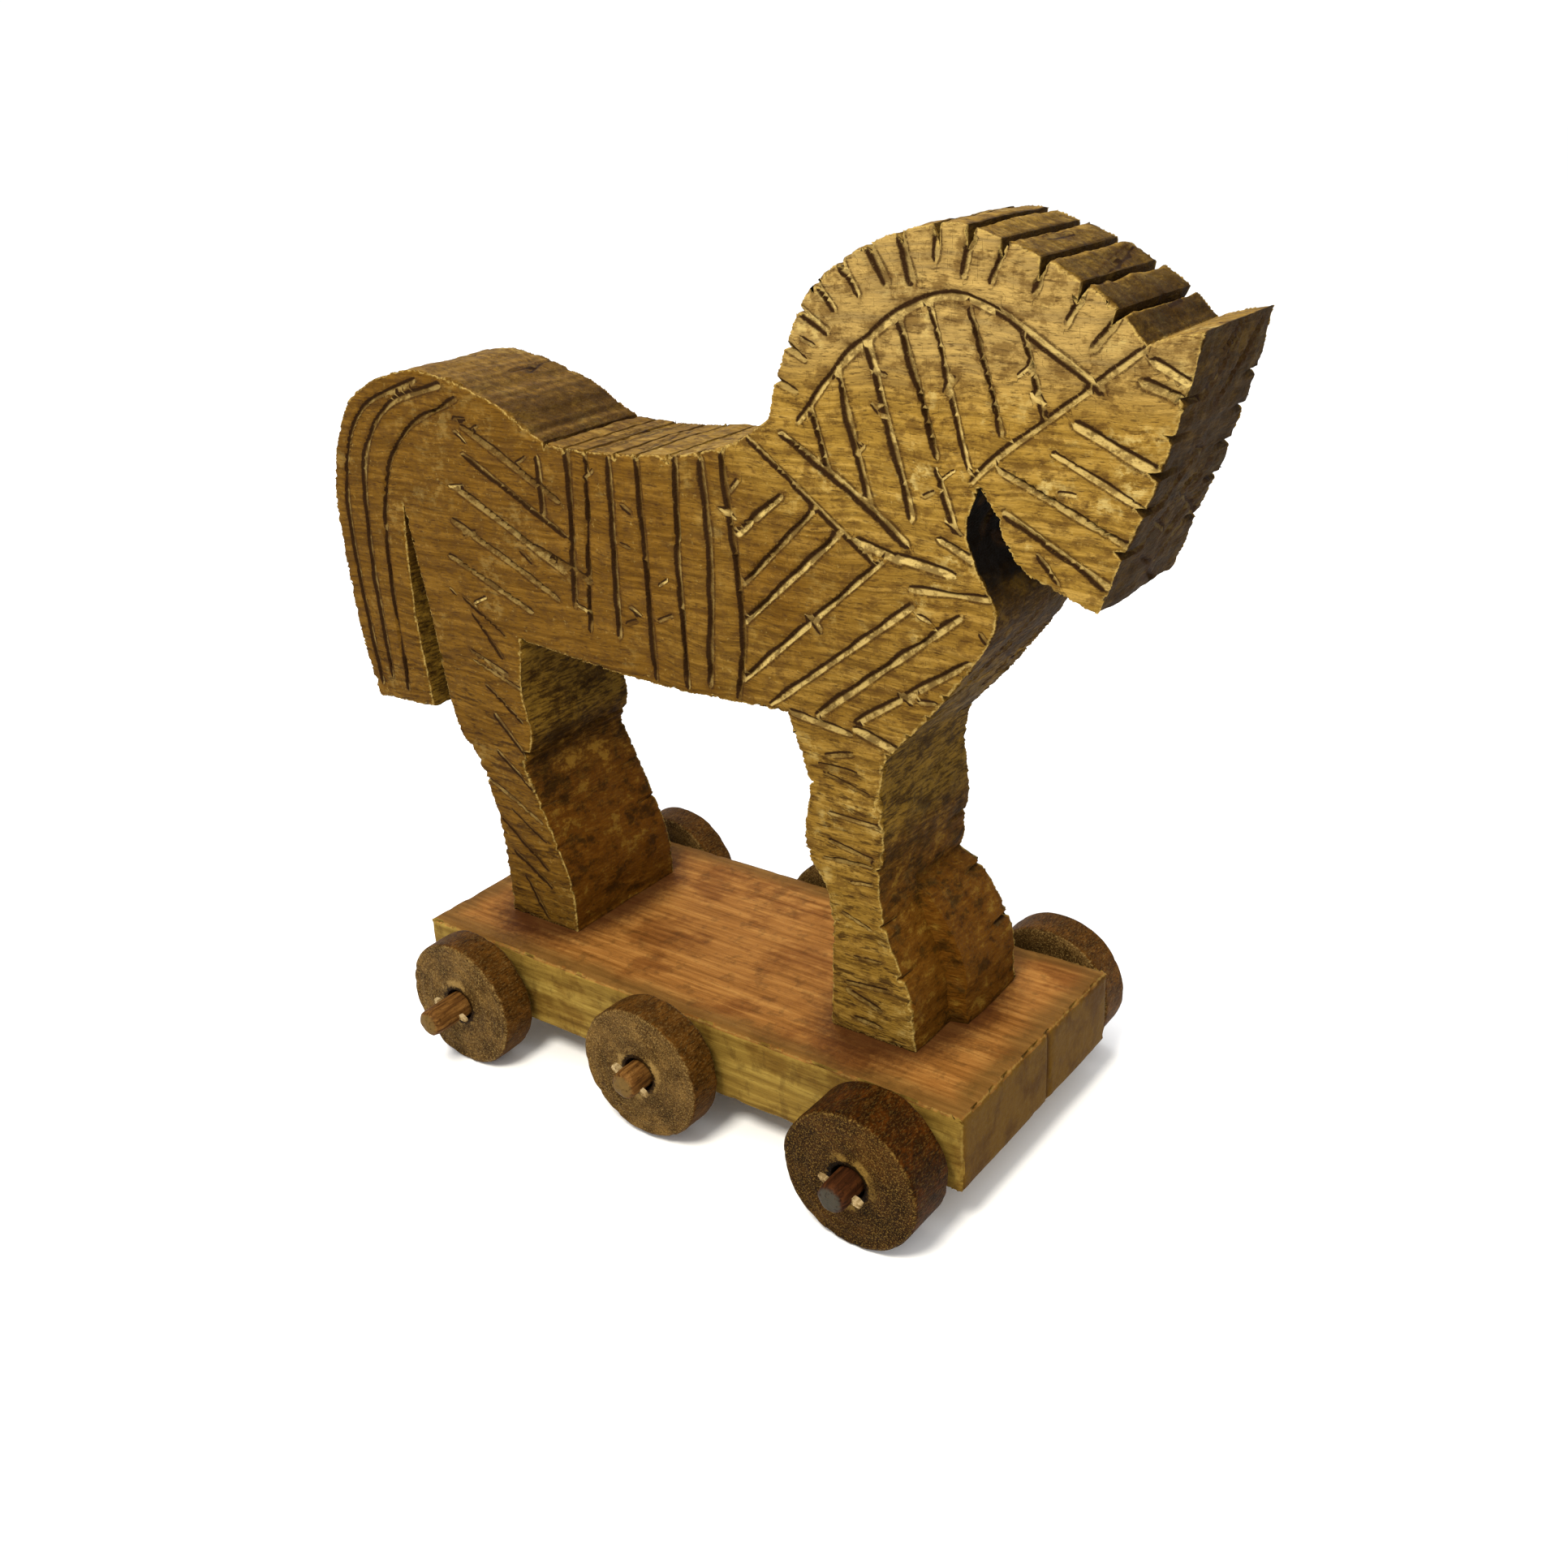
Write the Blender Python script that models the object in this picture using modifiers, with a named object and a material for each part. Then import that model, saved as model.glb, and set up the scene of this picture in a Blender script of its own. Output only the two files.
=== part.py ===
"""Wheeled wooden horse: a sawn and knife-cut figure on a six-wheeled plank.

Frame: metres, +Z up, +X is the way the horse faces, ground at z = 0,
origin at the bottom centre of the bounding box.
"""
import math

import bmesh
import bpy
from mathutils import Matrix, Vector

MM = 0.001
GAP = 0.3                    # glue or clearance gap between touching pieces

# ---- plank ---------------------------------------------------------------
PLANK_X0 = -60.5
PLANK_X1 = 59.0
PLANK_W = 50.7
PLANK_Z0 = 7.5
PLANK_Z1 = 22.1
PLANK_EDGE = 0.8             # worn edge

# ---- wheels and axles ----------------------------------------------------
WHEEL_R = 12.5
WHEEL_EDGE = 0.7
WHEEL_SIDES = 56
BORE_R = 3.0
AXLE_R = 2.6
AXLE_TIP_R = 2.3
AXLE_TIP = 1.0               # length of the rounded end
AXLE_SIDES = 32
PLANK_HOLE_R = AXLE_R + GAP
SIDE_GAP = 1.9               # plank side to wheel
PIN_R = 0.7
PIN_TIP_R = 0.55
PIN_LEN = 8.6
PIN_HOLE_LEN = 12.0
PIN_SIDES = 20
PIN_STANDOFF = 1.7           # wheel face to pin centre line
# axle name, x, z, half length, near and far wheel thickness, pin tilt in degrees
AXLES = (
    ("front", 45.5, 12.5, 43.0, 10.5, 8.0, -18.0),
    ("middle", 0.0, 13.4, 39.0, 7.2, 7.2, -26.0),
    ("rear", -44.3, 12.5, 42.8, 7.4, 7.2, -12.0),
)

# ---- horse ---------------------------------------------------------------
HOOF_Z = PLANK_Z1 + GAP
HALF_W_FOOT = 14.4           # half thickness of the board at the hooves
HALF_W_TOP = 11.4            # half thickness at the top of the mane
TAPER_TOP_Z = 145.0
# The side outline, clockwise from the withers: each run is a smooth curve
# through its x, z points, with a corner where two runs meet.
OUTLINE = (
    ((18.2, 122.6), (20.6, 130.0), (25.0, 139.2), (33.0, 146.0), (44.0, 149.7),
     (52.0, 149.8), (62.0, 146.2), (70.6, 141.8), (76.8, 136.4)),
    ((76.8, 136.4), (79.6, 137.4), (84.2, 138.4)),
    ((84.2, 138.4), (82.2, 129.4), (79.0, 119.2), (75.4, 109.8), (72.0, 101.2)),
    ((72.0, 101.2), (66.0, 103.4), (60.6, 105.6), (57.4, 110.0), (57.0, 112.2)),
    ((57.0, 112.2), (53.8, 116.4)),
    ((53.8, 116.4), (51.7, 110.4), (53.4, 105.2), (56.7, 98.4), (54.4, 92.2), (45.6, 80.8),
     (38.6, 73.0), (37.0, 67.0)),
    ((37.0, 67.0), (37.7, 57.0), (36.8, 50.0), (38.4, 41.6), (42.4, 32.4), (43.6, HOOF_Z)),
    ((43.6, HOOF_Z), (27.0, HOOF_Z)),
    ((27.0, HOOF_Z), (27.2, 45.0), (22.6, 54.6), (23.6, 66.0), (20.0, 77.0)),
    ((20.0, 77.0), (-8.0, 76.5), (-38.5, 79.0)),
    ((-38.5, 79.0), (-39.8, 69.0), (-38.2, 60.6), (-40.9, 54.2)),
    ((-40.9, 54.2), (-35.6, 41.4), (-31.8, 31.4), (-31.4, HOOF_Z)),
    ((-31.4, HOOF_Z), (-48.4, HOOF_Z)),
    ((-48.4, HOOF_Z), (-49.2, 39.0), (-53.2, 52.6), (-57.4, 57.6), (-59.4, 64.0)),
    ((-59.4, 64.0), (-61.4, 78.0), (-65.4, 100.4)),
    ((-65.4, 100.4), (-66.0, 82.0), (-64.2, 61.4)),
    ((-64.2, 61.4), (-79.6, 60.8)),
    ((-79.6, 60.8), (-82.6, 73.0), (-84.0, 88.0), (-83.5, 104.0), (-76.8, 117.6),
     (-64.0, 123.9), (-52.4, 124.2), (-38.4, 120.2), (-28.0, 115.0), (-13.6, 114.5),
     (2.6, 116.0), (11.0, 118.3), (18.2, 122.6)),
)
OUTLINE_STEP = 3.4
# Knife nicks in the edge: run number, nick depth, and how far along the run each one is.
NICKS = (
    (0, 1.2, (0.08, 0.16, 0.24, 0.31, 0.38, 0.45, 0.52)),
    (0, 2.8, (0.60, 0.68, 0.75, 0.82, 0.89, 0.95)),
    (2, 1.3, (0.22, 0.36, 0.50, 0.64, 0.80)),
    (5, 0.9, (0.62, 0.71, 0.80, 0.89)),
    (17, 0.9, (0.70, 0.73, 0.76, 0.80, 0.83, 0.87, 0.91)),
)
NICK_W = 1.1

# The far front lower leg stands a little further forward than the near one;
# its sole is trimmed a hair so that it never takes the load.
SOLE_TRIM = 0.25
FAR_HOOF_Y0 = -3.0
FAR_HOOF_Y1 = 14.1
FAR_HOOF_BACK_X = 32.0
FAR_HOOF = (
    (36.6, 49.2), (35.0, 46.0), (39.4, 44.4), (42.6, 40.2), (45.0, 35.0),
    (46.4, 29.0), (46.5, HOOF_Z + SOLE_TRIM),
)

# Knife lines on both faces. Each family runs evenly from its first line to its
# last: first start and end, last start and end (x, z), number of lines.
LINE_W = 0.9
LINE_DEPTH = 0.7
LINE_FAMILIES = (
    ((-15.0, 112.0), (-16.0, 80.0), (10.0, 115.0), (11.0, 80.0), 6),     # girth
    ((-46.0, 115.0), (-27.0, 105.0), (-53.0, 92.0), (-35.0, 84.0), 5),   # rump
    ((13.6, 97.0), (26.0, 109.0), (32.0, 79.0), (51.0, 91.0), 5),        # chest
    ((15.0, 118.6), (35.0, 104.0), (21.0, 119.6), (41.0, 107.4), 2),     # shoulder strap
    ((31.0, 129.0), (36.0, 113.0), (52.0, 137.0), (57.0, 123.0), 5),     # neck
    ((58.6, 112.6), (73.0, 105.4), (68.0, 125.6), (78.6, 120.8), 4),     # cheek
    ((53.6, 118.6), (76.0, 134.6), (53.6, 118.6), (76.0, 134.6), 1),     # jaw line
    ((-80.4, 100.0), (-78.2, 66.0), (-71.6, 104.6), (-69.6, 64.2), 3),   # tail strands
)

PARTS = "wheeled_horse"
CUTTERS = "cutters"


def clear_scene():
    for obj in list(bpy.data.objects):
        bpy.data.objects.remove(obj, do_unlink=True)
    for coll in list(bpy.data.collections):
        bpy.data.collections.remove(coll)


def new_collection(name, hidden):
    coll = bpy.data.collections.new(name)
    bpy.context.scene.collection.children.link(coll)
    coll.hide_render = hidden
    return coll


def wood(name, colour, roughness):
    mat = bpy.data.materials.new(name)
    mat.use_nodes = True
    shader = mat.node_tree.nodes["Principled BSDF"]
    shader.inputs["Base Color"].default_value = (*colour, 1.0)
    shader.inputs["Roughness"].default_value = roughness
    mat.diffuse_color = (*colour, 1.0)
    return mat


def add_object(name, mesh, mat=None, coll=None):
    obj = bpy.data.objects.new(name, mesh)
    target = coll or bpy.data.collections[PARTS]
    target.objects.link(obj)
    if mat:
        mesh.materials.append(mat)
    return obj


def spline(points, step):
    """Points about every step mm on a Catmull-Rom curve, without the last one."""
    knots = [Vector(point) for point in points]
    knots = [2 * knots[0] - knots[1]] + knots + [2 * knots[-1] - knots[-2]]
    out = []
    for a, b, c, d in zip(knots, knots[1:], knots[2:], knots[3:]):
        count = max(1, round((c - b).length / step))
        for i in range(count):
            t = i / count
            bend = (2 * a - 5 * b + 4 * c - d) * t * t + (3 * b - a - 3 * c + d) * t ** 3
            out.append((2 * b + (c - a) * t + bend) / 2)
    return out


def nick(path, end, fraction, depth):
    """Cut one V into an open path whose next corner is end."""
    closed = path + [end]
    lengths = [(b - a).length for a, b in zip(closed, closed[1:])]
    left = fraction * sum(lengths)
    for i, length in enumerate(lengths):
        if left <= length:
            break
        left -= length
    along = (closed[i + 1] - closed[i]).normalized()
    here = closed[i] + along * left
    inward = Vector((along.y, -along.x))
    near = [p for p in path if (p - here).length < NICK_W * 0.7 and p is not path[0]]
    kept = [p for p in path if not any(p is q for q in near)]
    before = [p for p in path[:i + 1] if any(p is q for q in kept)]
    after = [p for p in path[i + 1:] if any(p is q for q in kept)]
    vee = [here - along * NICK_W / 2, here + inward * depth, here + along * NICK_W / 2]
    return before + vee + after


def horse_outline():
    out = []
    for number, run in enumerate(OUTLINE):
        path = spline(run, OUTLINE_STEP) if len(run) > 2 else [Vector(run[0])]
        for nicked_run, depth, fractions in NICKS:
            if nicked_run == number:
                for fraction in fractions:
                    path = nick(path, Vector(run[-1]), fraction, depth)
        out += path
    return out


def far_hoof_outline():
    front = spline(FAR_HOOF, OUTLINE_STEP) + [Vector(FAR_HOOF[-1])]
    back = [Vector((FAR_HOOF_BACK_X, FAR_HOOF[-1][1])), Vector((FAR_HOOF_BACK_X, FAR_HOOF[0][1]))]
    return front + back


def family(first_start, first_end, last_start, last_end, count):
    """Evenly spaced lines from the first of a family to the last."""
    lines = []
    for i in range(count):
        t = i / max(1, count - 1)
        start = Vector(first_start).lerp(Vector(last_start), t)
        end = Vector(first_end).lerp(Vector(last_end), t)
        lines.append((start, end))
    return lines


def board(name, outline, y0, y1, coll=None):
    """A flat outline in the XZ plane, made solid between y0 and y1."""
    curve = bpy.data.curves.new(name + ".outline", "CURVE")
    curve.dimensions = "2D"
    curve.fill_mode = "BOTH"
    curve.extrude = (y1 - y0) / 2 * MM
    loop = curve.splines.new("POLY")
    loop.points.add(len(outline) - 1)
    for target, point in zip(loop.points, outline):
        target.co = (point[0] * MM, point[1] * MM, 0.0, 1.0)
    loop.use_cyclic_u = True
    temp = bpy.data.objects.new(name + ".outline", curve)
    bpy.context.scene.collection.objects.link(temp)
    temp.matrix_world = Matrix.Rotation(math.pi / 2, 4, "X")
    bpy.context.view_layer.update()
    evaluated = temp.evaluated_get(bpy.context.evaluated_depsgraph_get())
    mesh = bpy.data.meshes.new_from_object(evaluated)
    mesh.name = name
    mesh.transform(temp.matrix_world)
    mesh.transform(Matrix.Translation((0, (y0 + y1) / 2 * MM, 0)))
    bpy.data.objects.remove(temp, do_unlink=True)
    bm = bmesh.new()
    bm.from_mesh(mesh)
    bmesh.ops.remove_doubles(bm, verts=bm.verts, dist=0.000001)
    bmesh.ops.recalc_face_normals(bm, faces=bm.faces)
    bm.to_mesh(mesh)
    bm.free()
    return add_object(name, mesh, coll=coll)


def box_mesh(name, size, matrix):
    mesh = bpy.data.meshes.new(name)
    bm = bmesh.new()
    bmesh.ops.create_cube(bm, size=1.0)
    bmesh.ops.scale(bm, vec=[s * MM for s in size], verts=bm.verts)
    bmesh.ops.transform(bm, matrix=matrix, verts=bm.verts)
    bm.to_mesh(mesh)
    bm.free()
    return mesh


def rod_mesh(name, r0, r1, length, matrix, sides):
    """A round rod along local Z, radius r0 at the bottom and r1 at the top."""
    mesh = bpy.data.meshes.new(name)
    bm = bmesh.new()
    bmesh.ops.create_cone(
        bm, cap_ends=True, segments=sides, radius1=r0 * MM, radius2=r1 * MM,
        depth=length * MM)
    for face in bm.faces:
        face.smooth = len(face.verts) == 4
    bmesh.ops.transform(bm, matrix=matrix, verts=bm.verts)
    bm.to_mesh(mesh)
    bm.free()
    return mesh


def lathed_y(name, profile, steps, closed, mat):
    """Spin an (r, y) profile about the Y axis."""
    mesh = bpy.data.meshes.new(name)
    verts = [(r * MM, y * MM, 0.0) for r, y in profile]
    edges = [(i, i + 1) for i in range(len(verts) - 1)]
    if closed:
        edges.append((len(verts) - 1, 0))
    mesh.from_pydata(verts, edges, [])
    obj = add_object(name, mesh, mat)
    screw = obj.modifiers.new("turned", "SCREW")
    screw.axis = "Y"
    screw.angle = 2 * math.pi
    screw.steps = steps
    screw.render_steps = steps
    screw.use_merge_vertices = True
    screw.merge_threshold = 0.00001
    screw.use_normal_calculate = True
    return obj


def cut(obj, tool, operation="DIFFERENCE"):
    mod = obj.modifiers.new(tool.name, "BOOLEAN")
    mod.operation = operation
    mod.solver = "EXACT"
    mod.object = tool


def bevel(obj, width, segments=2):
    mod = obj.modifiers.new("worn_edges", "BEVEL")
    mod.width = width * MM
    mod.segments = segments
    mod.limit_method = "ANGLE"
    mod.angle_limit = math.radians(40)


def about_y(x, y, z):
    """Placement that lays a local-Z rod along world Y."""
    turn = Matrix.Rotation(math.pi / 2, 4, "X")
    return Matrix.Translation((x * MM, y * MM, z * MM)) @ turn


def tool_object(name, mesh, coll):
    obj = add_object(name, mesh, coll=coll)
    obj.display_type = "WIRE"
    obj.hide_render = True
    return obj


def half_width(z):
    slope = (HALF_W_TOP - HALF_W_FOOT) / (TAPER_TOP_Z - HOOF_Z)
    return HALF_W_FOOT + slope * (z - HOOF_Z)


def taper(mesh):
    """The board is thinner at the mane than at the hooves."""
    for vert in mesh.vertices:
        vert.co.y *= half_width(vert.co.z / MM) / HALF_W_FOOT


def build_horse(coll):
    horse = board("horse_body", horse_outline(), -HALF_W_FOOT, HALF_W_FOOT)
    taper(horse.data)
    horse.data.materials.append(wood("carved_pale_wood", (0.40, 0.27, 0.09), 0.5))
    hoof = board("far_hoof", far_hoof_outline(), FAR_HOOF_Y0, FAR_HOOF_Y1, coll)
    taper(hoof.data)
    hoof.display_type = "WIRE"
    hoof.hide_render = True
    cut(horse, hoof, "UNION")
    tools = bmesh.new()
    for spec in LINE_FAMILIES:
        for start, end in family(*spec):
            add_line(tools, -1, start, end)
            add_line(tools, 1, start, end)
    mesh = bpy.data.meshes.new("knife_lines")
    tools.to_mesh(mesh)
    tools.free()
    cut(horse, tool_object("knife_lines", mesh, coll))
    return horse


def add_line(bm, side, low, high):
    """One knife line: a thin box that follows the sloping face."""
    start = Vector((low.x, side * half_width(low.y), low.y))
    end = Vector((high.x, side * half_width(high.y), high.y))
    along = (end - start).normalized()
    outward = Vector((0.0, side, 0.0))
    across = along.cross(outward).normalized()
    outward = across.cross(along).normalized()
    turn = Matrix((along, across, outward)).transposed().to_4x4()
    place = Matrix.Translation((start + end) / 2 * MM) @ turn
    size = ((end - start).length * MM, LINE_W * MM, 2 * LINE_DEPTH * MM)
    made = bmesh.ops.create_cube(bm, size=1.0)["verts"]
    bmesh.ops.scale(bm, vec=size, verts=made)
    bmesh.ops.transform(bm, matrix=place, verts=made)
    faces = list({face for vert in made for face in vert.link_faces})
    bmesh.ops.recalc_face_normals(bm, faces=faces)


def build_plank(coll):
    size = (PLANK_X1 - PLANK_X0, PLANK_W, PLANK_Z1 - PLANK_Z0)
    centre = ((PLANK_X0 + PLANK_X1) / 2, 0.0, (PLANK_Z0 + PLANK_Z1) / 2)
    mesh = box_mesh("base_plank", size, Matrix.Translation(Vector(centre) * MM))
    plank = add_object("base_plank", mesh, wood("red_brown_plank", (0.36, 0.16, 0.05), 0.55))
    bevel(plank, PLANK_EDGE)
    for name, x, z, *_ in AXLES:
        hole = rod_mesh(name + "_axle_hole", PLANK_HOLE_R, PLANK_HOLE_R, PLANK_W + 10,
                        about_y(x, 0, z), AXLE_SIDES)
        cut(plank, tool_object(name + "_axle_hole", hole, coll))
    return plank


def build_axle(coll, spec):
    name, x, z, half, near, far, tilt = spec
    shade = wood(name + "_axle_wood", (0.17, 0.09, 0.03), 0.6)
    profile = (
        (0.0, -half), (AXLE_TIP_R, -half), (AXLE_R, -half + AXLE_TIP),
        (AXLE_R, half - AXLE_TIP), (AXLE_TIP_R, half), (0.0, half))
    axle = lathed_y(name + "_axle", profile, AXLE_SIDES, False, shade)
    axle.location = (x * MM, 0, z * MM)
    for side, label, thick in ((-1, "near", near), (1, "far", far)):
        y = side * (PLANK_W / 2 + SIDE_GAP + thick + PIN_STANDOFF)
        turn = Matrix.Rotation(math.radians(90 - tilt), 4, "Y")
        place = Matrix.Translation((x * MM, y * MM, z * MM)) @ turn
        hole = rod_mesh(name + label + "_pin_hole", PIN_R + GAP, PIN_R + GAP, PIN_HOLE_LEN,
                        place, PIN_SIDES)
        cut(axle, tool_object(name + label + "_pin_hole", hole, coll))
        rod = rod_mesh(name + "_" + label + "_pin", PIN_R, PIN_TIP_R, PIN_LEN, turn, PIN_SIDES)
        pin = add_object(name + "_" + label + "_pin", rod,
                         wood(name + "_" + label + "_pin_wood", (0.42, 0.30, 0.13), 0.6))
        pin.location = (x * MM, y * MM, z * MM)


def build_wheels(spec):
    name, x, z, _, near, far, _ = spec
    rim = WHEEL_R - WHEEL_EDGE
    for side, label, thick in ((-1, "near", near), (1, "far", far)):
        h = thick / 2
        profile = (
            (BORE_R, -h), (rim, -h), (WHEEL_R, -h + WHEEL_EDGE), (WHEEL_R, h - WHEEL_EDGE),
            (rim, h), (BORE_R, h))
        shade = wood(name + "_" + label + "_wheel_wood", (0.12, 0.06, 0.02), 0.6)
        wheel = lathed_y(name + "_" + label + "_wheel", profile, WHEEL_SIDES, True, shade)
        wheel.location = (x * MM, side * (PLANK_W / 2 + SIDE_GAP + h) * MM, z * MM)


def main():
    clear_scene()
    new_collection(PARTS, False)
    coll = new_collection(CUTTERS, True)
    build_horse(coll)
    build_plank(coll)
    for spec in AXLES:
        build_axle(coll, spec)
        build_wheels(spec)


main()
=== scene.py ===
# %% [markdown]
# # A wheeled wooden horse
#
# This notebook dresses a small folk-art horse: one thick board sawn to a
# horse's outline, scored all over with a knife, washed with brown stain and
# glued to a plank that rolls on six slices of round stock. The solid model
# comes first as a fixed frame of bodies and joints. Every piece made below is
# laid over that frame and rides on one of its bodies, so the wheels still turn.

# %% Load the frame
import functools
import math
import random

import bmesh
import bpy
import numpy as np
from mathutils import Matrix, Vector, kdtree, noise


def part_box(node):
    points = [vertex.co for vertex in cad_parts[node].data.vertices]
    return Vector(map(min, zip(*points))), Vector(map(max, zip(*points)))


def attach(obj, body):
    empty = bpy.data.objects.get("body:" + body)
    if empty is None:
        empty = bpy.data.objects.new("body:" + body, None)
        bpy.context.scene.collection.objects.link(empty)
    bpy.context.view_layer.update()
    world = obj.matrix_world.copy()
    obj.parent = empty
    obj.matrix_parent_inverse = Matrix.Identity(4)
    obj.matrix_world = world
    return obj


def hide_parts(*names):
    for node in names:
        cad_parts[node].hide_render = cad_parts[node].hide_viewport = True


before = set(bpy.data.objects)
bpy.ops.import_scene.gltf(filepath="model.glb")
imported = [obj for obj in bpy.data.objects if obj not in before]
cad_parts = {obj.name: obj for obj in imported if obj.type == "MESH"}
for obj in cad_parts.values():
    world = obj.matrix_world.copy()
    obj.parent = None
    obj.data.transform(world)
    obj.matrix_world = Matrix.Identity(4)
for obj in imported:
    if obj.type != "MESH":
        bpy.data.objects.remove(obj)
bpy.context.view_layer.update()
MM = 0.001

# %% [markdown]
# ## Camera and light
#
# The camera stands in front of the horse's right shoulder and looks a little
# down. Its place is worked out from an azimuth, a height angle, a roll and a
# distance, as for a tripod head. A small lamp above the shoulder rakes across
# the carved flank, so the knife lines read, and leaves the leg fronts in
# shade. A cool window behind lights the crest and the plank, and a white room
# fills in the rest.

# %% Camera
AZIMUTH = math.radians(37.4)
HEIGHT_ANGLE = math.radians(24.8)
ROLL = math.radians(-3.06)
DISTANCE = 0.3138
TARGET = Vector((-0.0150, 0.0310, 0.0387))
LENS = 36.0             # mm, on a sensor as wide
NEAREST = 0.01          # m


def look_from(azimuth, height_angle, roll):
    """Camera axes as columns: right, up and back."""
    back = Vector((
        math.sin(azimuth) * math.cos(height_angle),
        -math.cos(azimuth) * math.cos(height_angle),
        math.sin(height_angle)))
    right = Vector((0, 0, 1)).cross(back).normalized()
    up = back.cross(right)
    turned_right = right * math.cos(roll) + up * math.sin(roll)
    turned_up = up * math.cos(roll) - right * math.sin(roll)
    return Matrix((turned_right, turned_up, back)).transposed()


axes = look_from(AZIMUTH, HEIGHT_ANGLE, ROLL)
lens = bpy.data.cameras.new("camera")
lens.lens = LENS
lens.sensor_width = LENS
lens.clip_start = NEAREST
camera = bpy.data.objects.new("camera", lens)
bpy.context.scene.collection.objects.link(camera)
camera.matrix_world = Matrix.Translation(TARGET + axes.col[2] * DISTANCE) @ axes.to_4x4()
bpy.context.scene.camera = camera
bpy.context.scene.view_settings.view_transform = "Standard"
print("camera at", [round(c, 3) for c in camera.matrix_world.translation])

# %% Lamps and room


def lamp(name, where, aim, size, watts, tint):
    """A round soft lamp that stands at one place and shines at another."""
    data = bpy.data.lights.new(name, "AREA")
    data.shape = "DISK"
    data.size = size
    data.energy = watts
    data.color = tint
    obj = bpy.data.objects.new(name, data)
    bpy.context.scene.collection.objects.link(obj)
    away = (Vector(where) - Vector(aim)).normalized()
    obj.matrix_world = Matrix.Translation(where) @ away.to_track_quat("Z", "Y").to_matrix().to_4x4()


lamp("desk_lamp", (0.07, -0.25, 0.36), (0.02, 0, 0.10), 0.12, 1.9, (1.0, 0.95, 0.84))
lamp("window", (-0.50, 0.35, 0.70), (0, 0, 0.07), 0.50, 3.4, (0.98, 0.98, 1.0))

room = bpy.data.worlds.new("pale_room")
room.use_nodes = True
room.node_tree.nodes["Background"].inputs["Color"].default_value = (1.0, 1.0, 1.0, 1.0)
room.node_tree.nodes["Background"].inputs["Strength"].default_value = 1.04
bpy.context.scene.world = room

# %% [markdown]
# ## Two small helpers for materials
#
# Paint makers speak sRGB, while the renderer wants linear light, so every
# colour below is written as a hex value and turned by one function. The other
# function adds one node. The kinds of node that come back are listed first,
# each with the output that is read and its fixed settings. A call gives the
# inputs, as numbers, hex colours or what another node puts out.

# %% Colour and node helpers
SPACE = ("TexCoord", "Object", {})
NORMAL = ("NewGeometry", "Normal", {})
FACT = ("Attribute", "Fac", {})                 # a number kept on the mesh points
SPLIT = ("SeparateXYZ", "Z", {})
MOVED = ("Mapping", "Vector", {})
NOISE = ("TexNoise", "Fac", {})
TONES = ("ValToRGB", "Color", {})
SPAN = ("MapRange", "Result", {"interpolation_type": "SMOOTHSTEP"})   # value, from, to
TIMES = ("Math", "Value", {"operation": "MULTIPLY", "use_clamp": True})
SUM = ("Math", "Value", {"operation": "MULTIPLY_ADD"})                # value, gain, added to
SINE = ("Math", "Value", {"operation": "SINE"})
ABSOLUTE = ("Math", "Value", {"operation": "ABSOLUTE"})
STRETCH = ("VectorMath", "Vector", {"operation": "SCALE"})
VECTOR_SUM = ("VectorMath", "Vector", {"operation": "MULTIPLY_ADD"})
FROM_POINT = ("VectorMath", "Vector", {"operation": "SUBTRACT"})
LENGTH = ("VectorMath", "Value", {"operation": "LENGTH"})
MIX = ("Mix", 2, {"data_type": "RGBA"})         # inputs 0 share, 6 and 7 colours
BUMP = ("Bump", "Normal", {})


def colour(code):
    """sRGB hex to linear RGBA."""
    parts = [int(code[i:i + 2], 16) / 255 for i in (1, 3, 5)]
    linear = [p / 12.92 if p <= 0.04045 else ((p + 0.055) / 1.055) ** 2.4 for p in parts]
    return (*linear, 1.0)


def add(tree, kind, inputs=(), stops=(), out=None, **settings):
    """Add one node with its settings, inputs and ramp stops; returns the output that is read."""
    name, output, fixed = kind
    node = tree.nodes.new("ShaderNode" + name)
    for key, value in {**fixed, **settings}.items():
        setattr(node, key, value)
    for key, value in inputs.items() if isinstance(inputs, dict) else enumerate(inputs):
        if isinstance(value, bpy.types.NodeSocket):
            tree.links.new(value, node.inputs[key])
        else:
            node.inputs[key].default_value = colour(value) if isinstance(value, str) else value
    if stops:
        ramp = node.color_ramp
        while len(ramp.elements) < len(stops):
            ramp.elements.new(0.5)
        for element, (place, code) in zip(ramp.elements, stops):
            element.position = place
            element.color = colour(code)
    return node.outputs[out or output]


print("tan is", [round(c, 3) for c in colour("#A8883F")])

# %% [markdown]
# ## The carved board
#
# The horse is one board, about 28 mm thick at the hooves and thinner at the
# mane. It could be one extruded outline with the knife lines painted on, but
# then its edges and cuts would look printed. Here the outline is extruded and
# its two flat faces are sliced into a fine grid, so that every knife line,
# chip and nick can be pushed into real geometry afterwards.

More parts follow.
